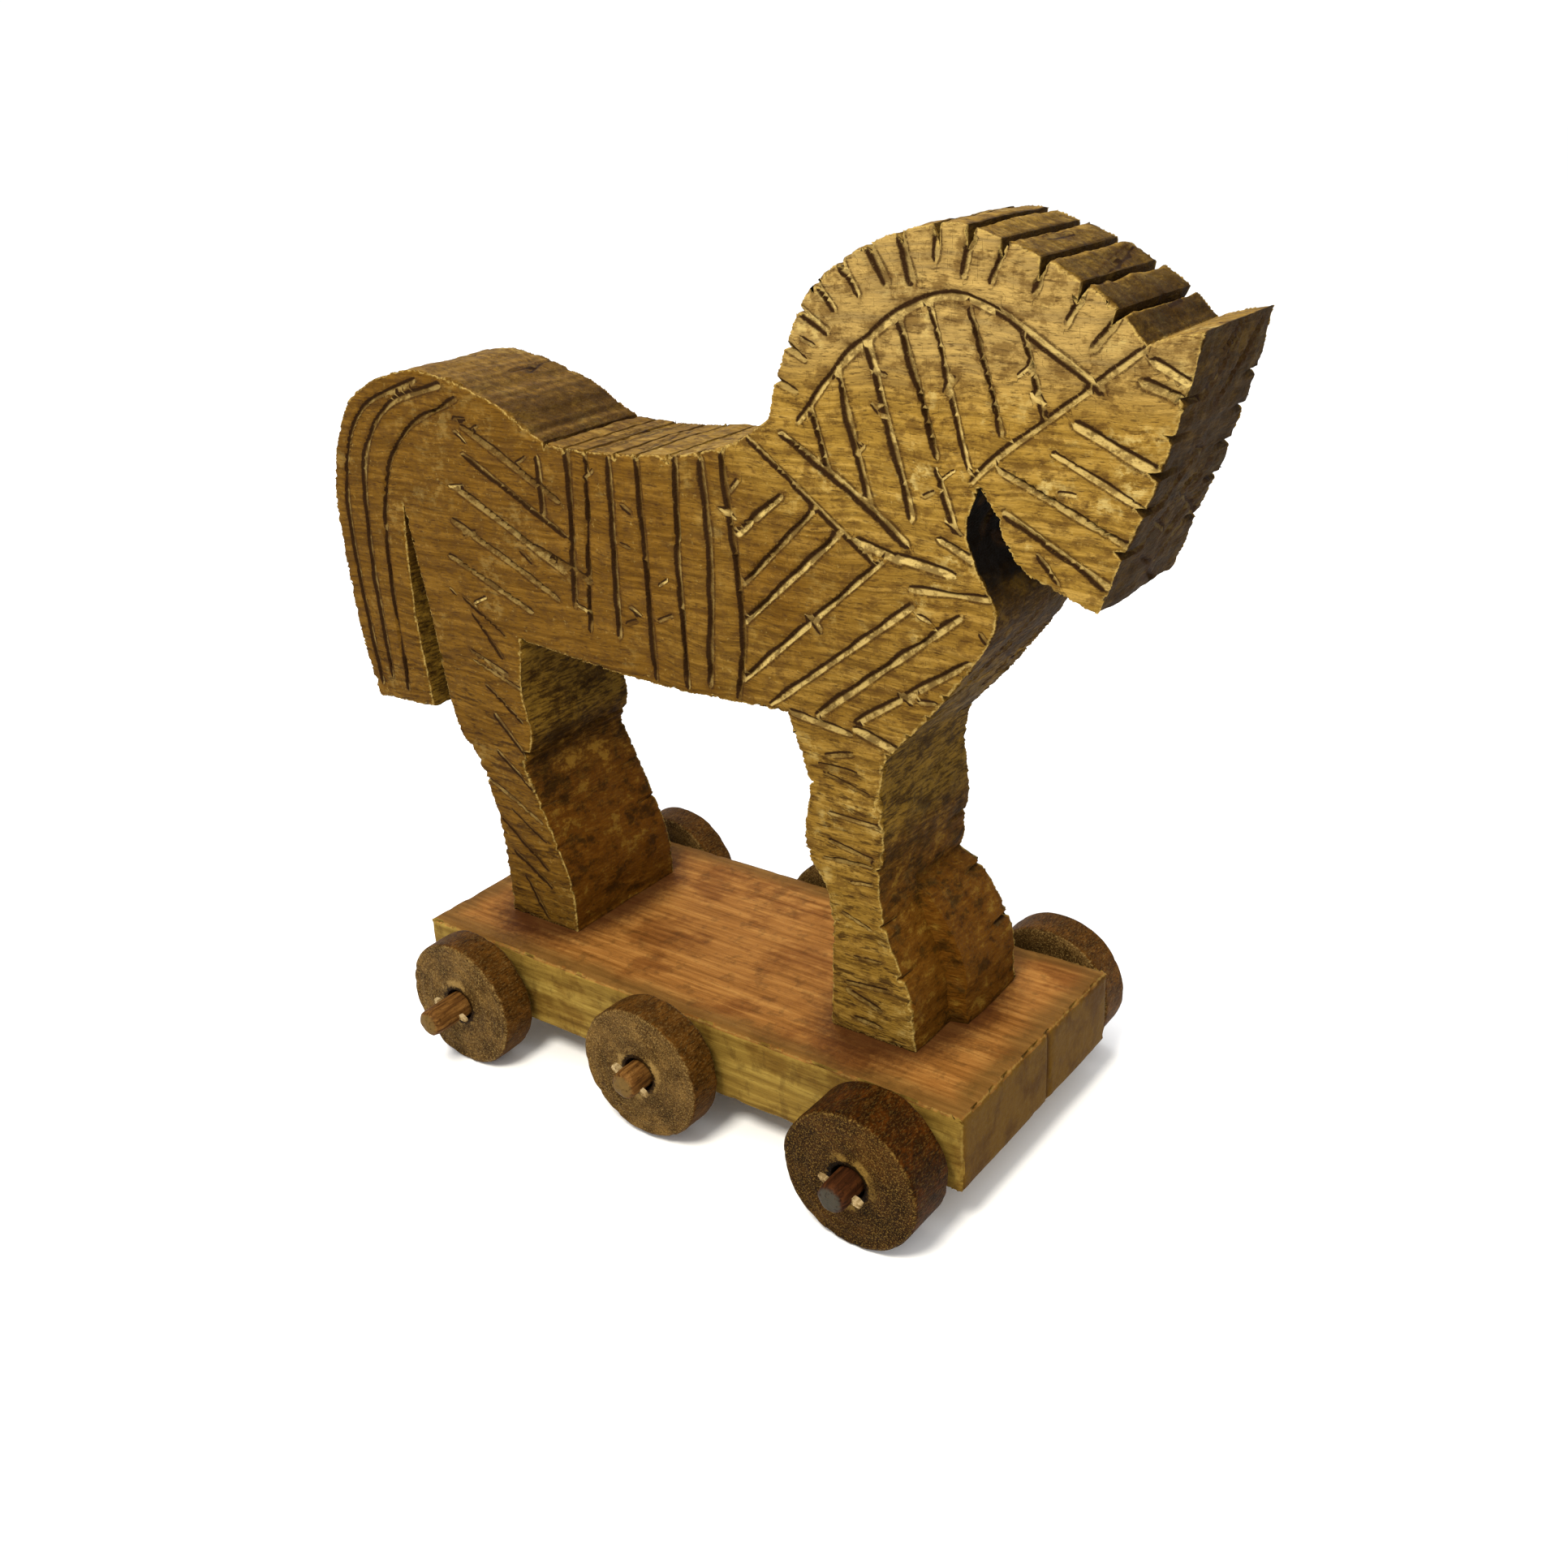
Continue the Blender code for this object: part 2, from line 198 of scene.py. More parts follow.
# %% Outline of the horse, in millimetres
PLANK_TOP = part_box("base_plank")[1].z / MM
SOLE_Z = PLANK_TOP + 0.02
OUTLINE = (
    ((18.2, 122.6), (20.6, 130.0), (25.0, 139.2), (33.0, 146.0), (44.0, 149.7),
     (52.0, 149.8), (62.0, 146.2), (70.6, 141.8), (76.8, 136.4)),
    ((76.8, 136.4), (79.6, 137.4), (84.2, 138.4)),
    ((84.2, 138.4), (82.2, 129.4), (79.0, 119.2), (75.4, 109.8), (72.0, 101.2)),
    ((72.0, 101.2), (66.0, 103.4), (60.6, 105.6), (57.4, 110.0), (57.0, 112.2)),
    ((57.0, 112.2), (53.8, 116.4)),
    ((53.8, 116.4), (51.7, 110.4), (53.4, 105.2), (56.7, 98.4), (54.4, 92.2), (45.6, 80.8),
     (38.6, 73.0), (37.0, 67.0)),
    ((37.0, 67.0), (37.7, 57.0), (36.8, 50.0), (38.4, 41.6), (42.4, 32.4), (43.6, SOLE_Z)),
    ((43.6, SOLE_Z), (27.0, SOLE_Z)),
    ((27.0, SOLE_Z), (27.2, 45.0), (22.6, 54.6), (23.6, 66.0), (20.0, 77.0)),
    ((20.0, 77.0), (-8.0, 76.5), (-38.5, 79.0)),
    ((-38.5, 79.0), (-39.8, 69.0), (-38.2, 60.6), (-40.9, 54.2)),
    ((-40.9, 54.2), (-35.6, 41.4), (-31.8, 31.4), (-31.4, SOLE_Z)),
    ((-31.4, SOLE_Z), (-48.4, SOLE_Z)),
    ((-48.4, SOLE_Z), (-49.2, 39.0), (-53.2, 52.6), (-57.4, 57.6), (-59.4, 64.0)),
    ((-59.4, 64.0), (-61.4, 78.0), (-65.4, 100.4)),
    ((-65.4, 100.4), (-66.0, 82.0), (-64.2, 61.4)),
    ((-64.2, 61.4), (-79.6, 60.8)),
    ((-79.6, 60.8), (-82.6, 73.0), (-84.0, 88.0), (-83.5, 104.0), (-76.8, 117.6),
     (-64.0, 123.9), (-52.4, 124.2), (-38.4, 120.2), (-28.0, 115.0), (-13.6, 114.5),
     (2.6, 116.0), (11.0, 118.3), (18.2, 122.6)),
)
MANE, FACE, CHEST, KNEE, BACK = 0, 2, 5, 10, 17
SOLES = (7, 12)
# Knife nicks in the edge: run, depth, mouth width, and how far along the run each one is.
NICKS = (
    (MANE, 1.2, 1.2, (0.08, 0.16, 0.24, 0.31, 0.38, 0.45, 0.52)),
    (MANE, 2.6, 1.3, (0.60, 0.68, 0.75, 0.82, 0.89, 0.95)),
    (FACE, 1.3, 1.4, (0.22, 0.36, 0.50, 0.64, 0.80)),
    (CHEST, 0.9, 1.0, (0.62, 0.71, 0.80, 0.89)),
    (BACK, 0.9, 0.9, (0.70, 0.73, 0.76, 0.80, 0.83, 0.87, 0.91)),
    (6, 0.9, 1.3, (0.30, 0.52, 0.72)),
    (8, 0.8, 1.2, (0.35, 0.58, 0.80)),
    (11, 0.8, 1.3, (0.25, 0.50)),
    (13, 0.8, 1.3, (0.30, 0.62)),
    (KNEE, 1.5, 1.5, (0.90,)),
)
EDGE_STEP = 0.56        # mm between outline points
WOBBLE = 0.35           # mm the saw strays
FOOT_HALF_WIDTH = 14.4
TOP_HALF_WIDTH = 11.4
TAPER_TOP_Z = 145.0


def spline(points, step):
    """Points about every step mm on a Catmull-Rom curve, without the last one."""
    knots = [Vector(point) for point in points]
    knots = [2 * knots[0] - knots[1]] + knots + [2 * knots[-1] - knots[-2]]
    out = []
    for a, b, c, d in zip(knots, knots[1:], knots[2:], knots[3:]):
        count = max(1, round((c - b).length / step))
        for i in range(count):
            t = i / count
            bend = (2 * a - 5 * b + 4 * c - d) * t * t + (3 * b - a - 3 * c + d) * t ** 3
            out.append((2 * b + (c - a) * t + bend) / 2)
    return out


def wobble(path, amount, seed):
    """A saw never follows the line exactly: shift each point a little sideways."""
    out = [path[0]]
    for before, here, after in zip(path, path[1:], path[2:] + path[-1:]):
        along = (after - before).normalized() if after != before else Vector((1, 0))
        slow = noise.noise(Vector((here.x / 6, here.y / 6, seed)))
        quick = noise.noise(Vector((here.x / 1.7, here.y / 1.7, seed + 9)))
        out.append(here + Vector((along.y, -along.x)) * amount * (0.6 * slow + 0.55 * quick))
    return out


def nick(path, end, fraction, depth, width):
    """Cut one V into an open path whose next corner is end."""
    closed = path + [end]
    lengths = [(b - a).length for a, b in zip(closed, closed[1:])]
    left = fraction * sum(lengths)
    for i, length in enumerate(lengths):
        if left <= length:
            break
        left -= length
    along = (closed[min(i + 3, len(closed) - 1)] - closed[max(i - 2, 0)]).normalized()
    here = closed[i] + (closed[i + 1] - closed[i]).normalized() * left
    inward = Vector((along.y, -along.x))
    before = [p for p in path[:i + 1] if (p - here).length > width * 0.6 or p is path[0]]
    after = [p for p in path[i + 1:] if (p - here).length > width * 0.6]
    vee = [here - along * width / 2, here + inward * depth, here + along * width / 2]
    return before + vee + after, (here, inward, depth)


def horse_outline():
    """The closed outline, and where each nick's mouth is."""
    points, mouths = [], []
    dice = random.Random(4)
    for number, run in enumerate(OUTLINE):
        path = spline(run, EDGE_STEP)
        if number not in SOLES:
            path = wobble(path, WOBBLE, number)
        for nicked_run, depth, width, fractions in NICKS:
            if nicked_run == number:
                for fraction in fractions:
                    cut = depth * dice.uniform(0.6, 1.25)
                    path, mouth = nick(path, Vector(run[-1]), fraction, cut, width)
                    mouths.append((number, *mouth))
        points += path
    return points, mouths


outline, nick_mouths = horse_outline()
print("outline points:", len(outline), "nicks:", len(nick_mouths))

# %% [markdown]
# ## From outline to a finely sliced board
#
# `bisect_plane` is the bench saw of bmesh. Slicing both flat faces with planes
# 0.64 mm apart, first across and then up, leaves a grid that still ends exactly
# on the outline. Only what lies beyond the last cut is handed to the next one,
# which keeps hundreds of cuts quick.

# %% Extrude and slice
SLICE = 0.64            # mm between saw planes
EDGE_ROWS = 31          # rows of faces across the thickness
ON_PLANE = 0.02         # mm within which a point counts as on a plane
ON_FLAT = 0.01          # the same for the two flat faces


def sliced(bm, faces, axis, step):
    """Cut faces into strips with planes every step along an axis; returns them all."""
    low = min(v.co[axis] for f in faces for v in f.verts)
    high = max(v.co[axis] for f in faces for v in f.verts)
    normal = [0, 0, 0]
    normal[axis] = 1
    finished, rest = [], list(faces)
    for i in range(int((high - low) / step)):
        place = [0, 0, 0]
        place[axis] = low + (i + 0.5) * step
        around = set(rest)
        for face in rest:
            around.update(face.edges)
            around.update(face.verts)
        result = bmesh.ops.bisect_plane(
            bm, geom=list(around), dist=ON_PLANE, plane_co=place, plane_no=normal)
        rest = []
        for item in result["geom"]:
            if isinstance(item, bmesh.types.BMFace):
                beyond = any(v.co[axis] > place[axis] + ON_PLANE for v in item.verts)
                (rest if beyond else finished).append(item)
    return finished + rest


def thickened(bm, faces, half, rows, steps):
    """Push faces at y = -half across to y = half and slice both flats, in x and then in z."""
    moved = bmesh.ops.extrude_face_region(bm, geom=faces)["geom"]
    bmesh.ops.translate(bm, vec=(0, 2 * half, 0),
                        verts=[g for g in moved if isinstance(g, bmesh.types.BMVert)])
    across = [e for e in bm.edges if abs(e.verts[0].co.y - e.verts[1].co.y) > half]
    bmesh.ops.subdivide_edges(bm, edges=across, cuts=rows - 1, use_grid_fill=True)
    flats = [f for f in bm.faces if all(abs(abs(v.co.y) - half) < ON_FLAT for v in f.verts)]
    for axis, step in zip((0, 2), steps):
        flats = sliced(bm, flats, axis, step)
    bmesh.ops.recalc_face_normals(bm, faces=bm.faces)


board = bmesh.new()
board_face = board.faces.new([board.verts.new((p.x, -FOOT_HALF_WIDTH, p.y)) for p in outline])
thickened(board, [board_face], FOOT_HALF_WIDTH, EDGE_ROWS, (SLICE, SLICE))
print("board faces:", len(board.faces))

# %% [markdown]
# ## The knife lines
#
# The carver worked in families: a ring of lines under the mane, a fan down the
# neck, parallel cuts over the cheek, slanting cuts on chest and rump, upright
# ones round the belly like planking. Each line is two or more points in
# millimetres on the side of the board. The other side has the same families
# cut by a freer hand, so its ends are shifted by seeded random amounts.

# %% Lines of the carved pattern
PATTERN = {
    "mane_ring": [((24, 123), (31, 131), (41, 138.6), (49, 141.4), (56, 139.6), (63, 135.4),
                   (71, 130.6))],
    "jaw": [((52.6, 117), (56, 120.4), (70, 131), (76.6, 136))],
    "neck": [((26, 125), (29, 116)), ((31, 130), (36, 112)), ((36, 134.6), (43, 111)),
             ((41, 138), (47, 120)), ((46, 139.6), (52, 119)), ((52, 139.4), (57, 124)),
             ((60, 136.5), (63, 127)), ((47, 118), (50, 110))],
    "cheek": [((57, 119), (76, 111)), ((65, 122), (78, 116)), ((68, 126), (79.4, 121)),
              ((58, 113), (73, 105.2)), ((77, 132), (83, 130)), ((78, 134.6), (83.4, 132)),
              ((63, 108), (66, 104.6))],
    "straps": [((14.6, 119.4), (26, 111), (36.4, 103.6)), ((21, 120.4), (32, 114), (42, 107))],
    "chest": [((12, 105), (20, 111.4)), ((12.6, 97), (26, 110)), ((12.6, 91), (30, 106.6)),
              ((11.6, 81), (38, 104)), ((17, 78), (43, 98)), ((26, 78), (51, 97.6)),
              ((33, 78), (52.6, 91))],
    "throat": [((43, 100.6), (57, 101)), ((48, 108.4), (53, 106.2)), ((34, 106.4), (41, 104.6)),
               ((41, 105), (50, 103.6))],
    "brisket": [((21, 77.4), (32, 76)), ((33, 77), (41, 74.6))],
    "girth": [((-23, 114), (-24, 88)), ((-19, 113.6), (-21, 84)), ((-14, 113.6), (-14.4, 84)),
              ((-8, 114), (-7.6, 100), (-7, 77.6)), ((0, 115), (-0.6, 98), (0, 77.4)),
              ((5.2, 115.4), (6, 98), (4.6, 79)),
              ((9, 118), (10.4, 106), (12, 90), (10.4, 77.6)),
              ((-30, 112), (-29.6, 103))],
    "rump": [((-47, 116), (-26, 105.6)), ((-47.6, 111), (-25, 99.6)), ((-50, 105), (-26, 93.6)),
             ((-52, 99), (-28, 88.4)), ((-54, 92.4), (-35, 85)), ((-32, 97), (-20, 92.6))],
    "tail": [((-52, 122.6), (-66, 118), (-74, 108), (-76, 90), (-75, 66)),
             ((-58, 123), (-73, 117), (-79.6, 106), (-80.6, 88), (-78, 64)),
             ((-48, 120.6), (-62, 114), (-69, 104), (-71.4, 88), (-70.6, 64))],
}
# Legs: knife cuts across the leg, by leg: x at top, x at foot, length, z range, slope.
LEG_CUTS = (
    (30.4, 34.6, 9.0, (25, 76), -0.6),
    (-48.0, -40.0, 12.0, (27, 84), -6.0),
)
LEG_CUT_GAP = 4.2
# How pale the lower wall of a family's cuts is, as bare wood and painted highlight, from 0 (all dark) to
# 1.
PALENESS = {"girth": (0.0, 0.45), "rump": (0.0, 0.35), "tail": (0.1, 0.6), "neck": (0.3, 0.9),
            "mane_ring": (0.4, 0.8), "jaw": (0.5, 0.8)}
LINE_HALF = 0.62        # mm, half the width of a knife line
LINE_DEPTH = 0.80       # mm
SCRATCHES = 46
FREE_HAND = 1.3         # mm by which the far side's lines stray


def leg_cuts(dice):
    """Short cuts across each leg, about one every LEG_CUT_GAP."""
    out = []
    for x_top, x_foot, length, (z_low, z_high), slope in LEG_CUTS:
        z = z_low
        while z < z_high:
            t = (z_high - z) / (z_high - z_low)
            centre = x_top + (x_foot - x_top) * t + dice.uniform(-1.5, 1.5)
            half = length / 2 * dice.uniform(0.35, 1.15)
            lean = slope * dice.uniform(0.4, 1.3) / 2 + dice.uniform(-0.9, 0.9)
            out.append(((centre - half, z - lean), (centre + half, z + lean)))
            z += LEG_CUT_GAP * dice.uniform(0.4, 1.7)
    return out


def mane_cuts(dice):
    """A short cut down from every nick in the crest."""
    out = []
    for run, mouth, inward, _ in nick_mouths:
        if run == MANE:
            reach = dice.uniform(3.5, 6.5)
            swing = inward * reach + Vector((dice.uniform(-0.8, 0.8), 0))
            out.append((tuple(mouth), tuple(mouth + swing)))
    return out


def scratches(dice, count):
    """Short stray slips of the blade."""
    out = []
    for _ in range(count):
        x = dice.uniform(-60, 70)
        z = dice.uniform(80, 135)
        turn = dice.uniform(-0.9, 0.9)
        length = dice.uniform(1.0, 3.2)
        out.append(((x, z), (x + length * math.cos(turn), z + length * math.sin(turn))))
    return out


def side_lines(seed, shift):
    """All lines of one side as (points, half width, depth, paleness)."""
    dice = random.Random(seed)
    lines = []
    for name, family in PATTERN.items():
        for points in family:
            moved = [(x + dice.uniform(-shift, shift), z + dice.uniform(-shift, shift))
                     for x, z in points]
            if len(moved) > 2:
                moved = [tuple(p) for p in spline(moved, 2.5)] + [moved[-1]]
            half = LINE_HALF * dice.uniform(0.75, 1.20)
            deep = LINE_DEPTH * dice.uniform(0.6, 1.15)
            pale = dice.uniform(*PALENESS.get(name, (0.5, 1.0)))
            lines.append((moved, half, deep, pale))
    for points in leg_cuts(dice):
        lines.append((points, LINE_HALF * dice.uniform(0.4, 0.75),
                      LINE_DEPTH * dice.uniform(0.15, 0.6), dice.uniform(0, 0.3)))
    for points in mane_cuts(dice):
        lines.append((points, LINE_HALF, LINE_DEPTH, dice.uniform(0.2, 0.9)))
    for points in scratches(dice, SCRATCHES):
        lines.append((points, LINE_HALF * 0.6, LINE_DEPTH * 0.35, dice.uniform(0, 1)))
    return lines


def edge_lines(seed, starts, reaches, halves, depths, paleness, families):
    """Slanting cuts over the sawn edge, as points (y, place along the edge).

    A family is a count, the lowest and highest place, and the range of slants."""
    dice = random.Random(seed)
    lines = []
    for count, low, high, slants in families:
        for _ in range(count):
            y = dice.uniform(*starts)
            place = dice.uniform(low, high)
            reach = dice.uniform(*reaches)
            rise = dice.uniform(*slants) * reach
            lines.append((((y, place), (y + reach, place + rise)),
                          LINE_HALF * dice.uniform(*halves), LINE_DEPTH * dice.uniform(*depths),
                          dice.uniform(0, paleness)))
    return lines


# Down the face and the chest.
front_lines = edge_lines(5, (-13, 6), (4, 13), (0.7, 1.3), (0.3, 0.8), 0.12,
                         ((14, 102, 137, (-0.5, 0.9)), (7, 78, 97, (-0.5, 0.9))))
# Over the crest, the back and the rump.
top_lines = edge_lines(6, (-14, 5), (5, 20), (0.6, 1.1), (0.2, 0.5), 0.15,
                       ((9, 24, 75, (-0.25, 0.25)), (8, -34, 16, (-0.15, 0.15)),
                        (4, -78, -40, (-0.5, 0.5))))
near_lines = side_lines(11, 0.0)
far_lines = side_lines(23, FREE_HAND)
print("knife lines:", len(near_lines), "near,", len(far_lines), "far")

# %% [markdown]
# ## Pressing the knife lines into the board
#
# For every grid point the nearest line is found and the point is pushed in by
# a V-shaped profile. Points close to a line's middle are first slid sideways
# onto it, and the next ones onto the V's rim, so that a cut stays crisp even
# though it is only two grid cells wide. Where each point lies in its cut, from
# -1 on the upper rim to 1 on the lower one, is kept on the mesh as `lean`,
# because the upper wall is painted dark, as stain and painted shade, and the
# lower wall pale, as bare wood and painted highlight.

# %% Cut profiles
FAR_OFF = 9.0           # mm, for a point that is nowhere near
TREE_STEP = 0.3         # mm between the outline points that distances are taken to
LINE_FADE = 1.6         # mm over which a line grows shallow towards its end
LINE_END = 0.35         # how much of its depth is left there


def line_field(x, z, lines):
    """For each point: signed distance to its nearest line, that line's side
    direction, and its half width, depth and paleness."""
    best = np.full(len(x), 1e6)
    signed = np.zeros(len(x))
    side = np.zeros((len(x), 2))
    facts = np.zeros((len(x), 3))
    for points, half, deep, pale in lines:
        for i, ((x0, z0), (x1, z1)) in enumerate(zip(points, points[1:])):
            run = np.array([x1 - x0, z1 - z0])
            length = np.hypot(*run)
            run = run / length
            across = np.array([run[1], -run[0]])
            if across[0] - 0.5 * across[1] < 0:
                across = -across
            along = (x - x0) * run[0] + (z - z0) * run[1]
            held = np.clip(along, 0, length)
            off_x = x - (x0 + held * run[0])
            off_z = z - (z0 + held * run[1])
            distance = np.hypot(off_x, off_z)
            closer = distance < best
            best[closer] = distance[closer]
            sign = np.where(off_x * across[0] + off_z * across[1] < 0, -1.0, 1.0)
            signed[closer] = (distance * sign)[closer]
            side[closer] = across
            end_room = np.full(len(x), FAR_OFF)
            if i == 0:
                end_room = np.minimum(end_room, held)
            if i == len(points) - 2:
                end_room = np.minimum(end_room, length - held)
            fade = np.clip(end_room / LINE_FADE, LINE_END, 1.0)
            facts[closer] = np.stack([np.full(len(x), half), deep * fade,
                                      np.full(len(x), pale)], 1)[closer]
    return signed, side, facts


def edge_tree(points):
    """A lookup of the outline, with points at most TREE_STEP apart."""
    dense = []
    for a, b in zip(points, points[1:] + points[:1]):
        count = max(1, math.ceil((b - a).length / TREE_STEP))
        dense += [a.lerp(b, i / count) for i in range(count)]
    tree = kdtree.KDTree(len(dense))
    for i, p in enumerate(dense):
        tree.insert((p.x, 0, p.y), i)
    tree.balance()
    return tree


def noise_at(co, scale, seed):
    """Perlin noise at each point, with features about scale mm across."""
    shift = Vector((seed * 7.3, seed * 3.1, seed * 1.7))
    return np.array([noise.noise(Vector(c) / scale + shift) for c in co])


def half_width_at(z):
    slope = (TOP_HALF_WIDTH - FOOT_HALF_WIDTH) / (TAPER_TOP_Z - SOLE_Z)
    return FOOT_HALF_WIDTH + slope * (z - SOLE_Z)


def press(new, here, lines, flat_axes, free, wander):
    """Slide points onto the V of their nearest line; returns depth, lean and paleness."""
    a, b = flat_axes
    signed, across, facts = line_field(new[here, a], new[here, b], lines)
    half = facts[:, 0] * (1 + 0.45 * wander)
    deep = facts[:, 1] * (1 - 0.5 * wander)
    offset = signed + 0.16 * wander
    size = np.abs(offset)
    target = np.where(size < 0.32, 0.0, np.sign(offset) * (half + 0.2 * (size - half)))
    slide = np.where((size < half + 0.30) & free, target - offset, 0.0)
    new[here, a] += slide * across[:, 0]
    new[here, b] += slide * across[:, 1]
    lean = (offset + slide) / half
    depth = deep * np.clip(1 - np.abs(lean), 0, 1)
    depth -= 0.12 * np.clip(1 - np.abs(np.abs(lean) - 1.35) / 0.5, 0, 1)
    return depth, lean, facts[:, 2]


def edge_distance(co, normal, on_flat, points):
    """How far each point of a flat is from the outline, and which way leads inward."""
    tree = edge_tree(points)
    to_edge = np.full(len(co), FAR_OFF)
    inward = np.zeros((len(co), 2))
    for i in np.nonzero(on_flat)[0]:
        place, _, distance = tree.find((co[i, 0], 0, co[i, 2]))
        to_edge[i] = distance
        inward[i] = co[i, 0] - place.x, co[i, 2] - place.z
    rim = on_flat & (to_edge < 0.02)
    inward[rim] = -normal[rim][:, [0, 2]]
    inward /= np.maximum(np.hypot(inward[:, 0], inward[:, 1]), 1e-6)[:, None]
    return to_edge, inward


def fade_nicks(new, co, strip, slow, lean, pale):
    """Most nicks fade away from the flats; those of the mane, back and knee run across."""
    for number, mouth, into, depth in nick_mouths:
        foot = mouth + into * depth
        column = strip & (np.hypot(co[:, 0] - foot.x, co[:, 2] - foot.y) < 0.05)
        across = np.abs(co[column, 1]) / FOOT_HALF_WIDTH
        full = 1 if number == BACK else np.clip((across - 0.45) / 0.5, 0.05, 1)
        full = np.clip(full * (1 + 0.9 * slow[column]), 0, 1.25)
        if number in (MANE, KNEE):
            full = np.clip(1 + 0.35 * slow[column], 0.5, 1.3)
        new[column, 0] -= into.x * depth * (1 - full)
        new[column, 2] -= into.y * depth * (1 - full)
        lean[column] = np.where(full > 0.35, -0.4, lean[column])
        pale[column] = 0.1


# The far front hoof stands further forward: height and how far, in mm.
HOOF_STEP_Y = -3.0
HOOF_STEP = ((21.0, 2.9), (29.0, 3.3), (35.0, 3.9), (40.2, 3.6), (44.4, 1.9), (46.0, -1.6),
             (48.6, 0.0))
STEP_FROM, STEP_OVER = 31.0, 6.0    # where along the hoof the step fades in, in mm


def step_hoof(new, strip):
    """Move the far half of the front foot forward, with a clean edge at HOOF_STEP_Y."""
    far = new[:, 1] > HOOF_STEP_Y
    snap = np.abs(new[:, 1] - HOOF_STEP_Y) < 0.5
    new[:, 1] = np.where(snap & strip, HOOF_STEP_Y + np.where(far, 0.06, -0.06), new[:, 1])
    heights, steps = zip(*HOOF_STEP)
    forward = np.interp(new[:, 2], heights, steps, left=steps[0], right=0.0)
    toe = np.clip((new[:, 0] - STEP_FROM) / STEP_OVER, 0, 1)
    new[:, 0] += np.where(far, forward * toe * toe * (3 - 2 * toe), 0.0)


THROAT = (56.0, 109.5)      # x, z of the throat's corner, darkest with stain and painted shade, in mm
# Darker patches on the rump and the shoulder, fuller stain and painted shade: strength, then x and z, each
# with its reach, in mm.
PATCHES = ((0.75, -44, 17, 98, 18), (0.30, 24, 13, 98, 11))


def stain_and_painted_shading(co, normal, on_flat):
    """How much each point is stained, with painted shading and light, on the sawn edges and all over."""
    # Stain and painted shade: heavy on fronts and undersides, which face away from the light, lighter on
    # backs, and nearly black in the throat's recess.
    stain_and_shade = 0.90 * np.clip(normal[:, 0], 0, 1) + 0.80 * np.clip(-normal[:, 2], 0, 1)
    stain_and_shade += 0.35 * np.clip(-normal[:, 0], 0, 1) + 0.12
    throat = np.hypot(co[:, 0] - THROAT[0], co[:, 2] - THROAT[1])
    stain_and_shade += 1.1 * np.clip(1.6 - throat / 7.0, 0, 1)
    stain_and_shade = np.where(on_flat, 0.0, stain_and_shade)
    # Darker towards the shoulder, the rump and the legs: partly a fuller brush of stain, partly painted
    # shade that deepens away from the head.
    head = np.clip((co[:, 2] - 101 + 0.35 * (co[:, 0] - 40)) / 12, 0, 1) * (co[:, 0] > 8)
    wash_and_shading = (1 - head) * np.clip(0.62 + (20 - co[:, 0]) / 90, 0.5, 1.15)
    for strength, x, x_reach, z, z_reach in PATCHES:
        wash_and_shading += strength * np.exp(-((co[:, 0] - x) / x_reach) ** 2 - ((co[:, 2] - z) / z_reach) ** 2)
    # Up-facing edges get painted light, as if lit from above, and the mane's flats get lighter towards the
    # crest.
    wash_and_shading = np.maximum(wash_and_shading - 0.55 * np.where(on_flat, 0, np.clip(normal[:, 2], 0, 1)), 0)
    wash_and_shading -= 0.50 * on_flat * (co[:, 0] > 8) * np.clip((co[:, 2] - 122) / 14, 0, 1)
    return stain_and_shade, wash_and_shading


CHIP_DEPTH, CHIP_REACH = 1.1, 1.6       # mm, how deep a flat's border is chipped, and how far in
WORN_DEPTH, WORN_REACH = 0.32, 0.6      # mm, the same for the rounding by hands
SAWN, RAGGED = 0.34, 0.20               # mm, slow and quick unevenness of the sawn edge
PLANED, FUZZY = 0.16, 0.04              # mm, slow and fine unevenness of the flats


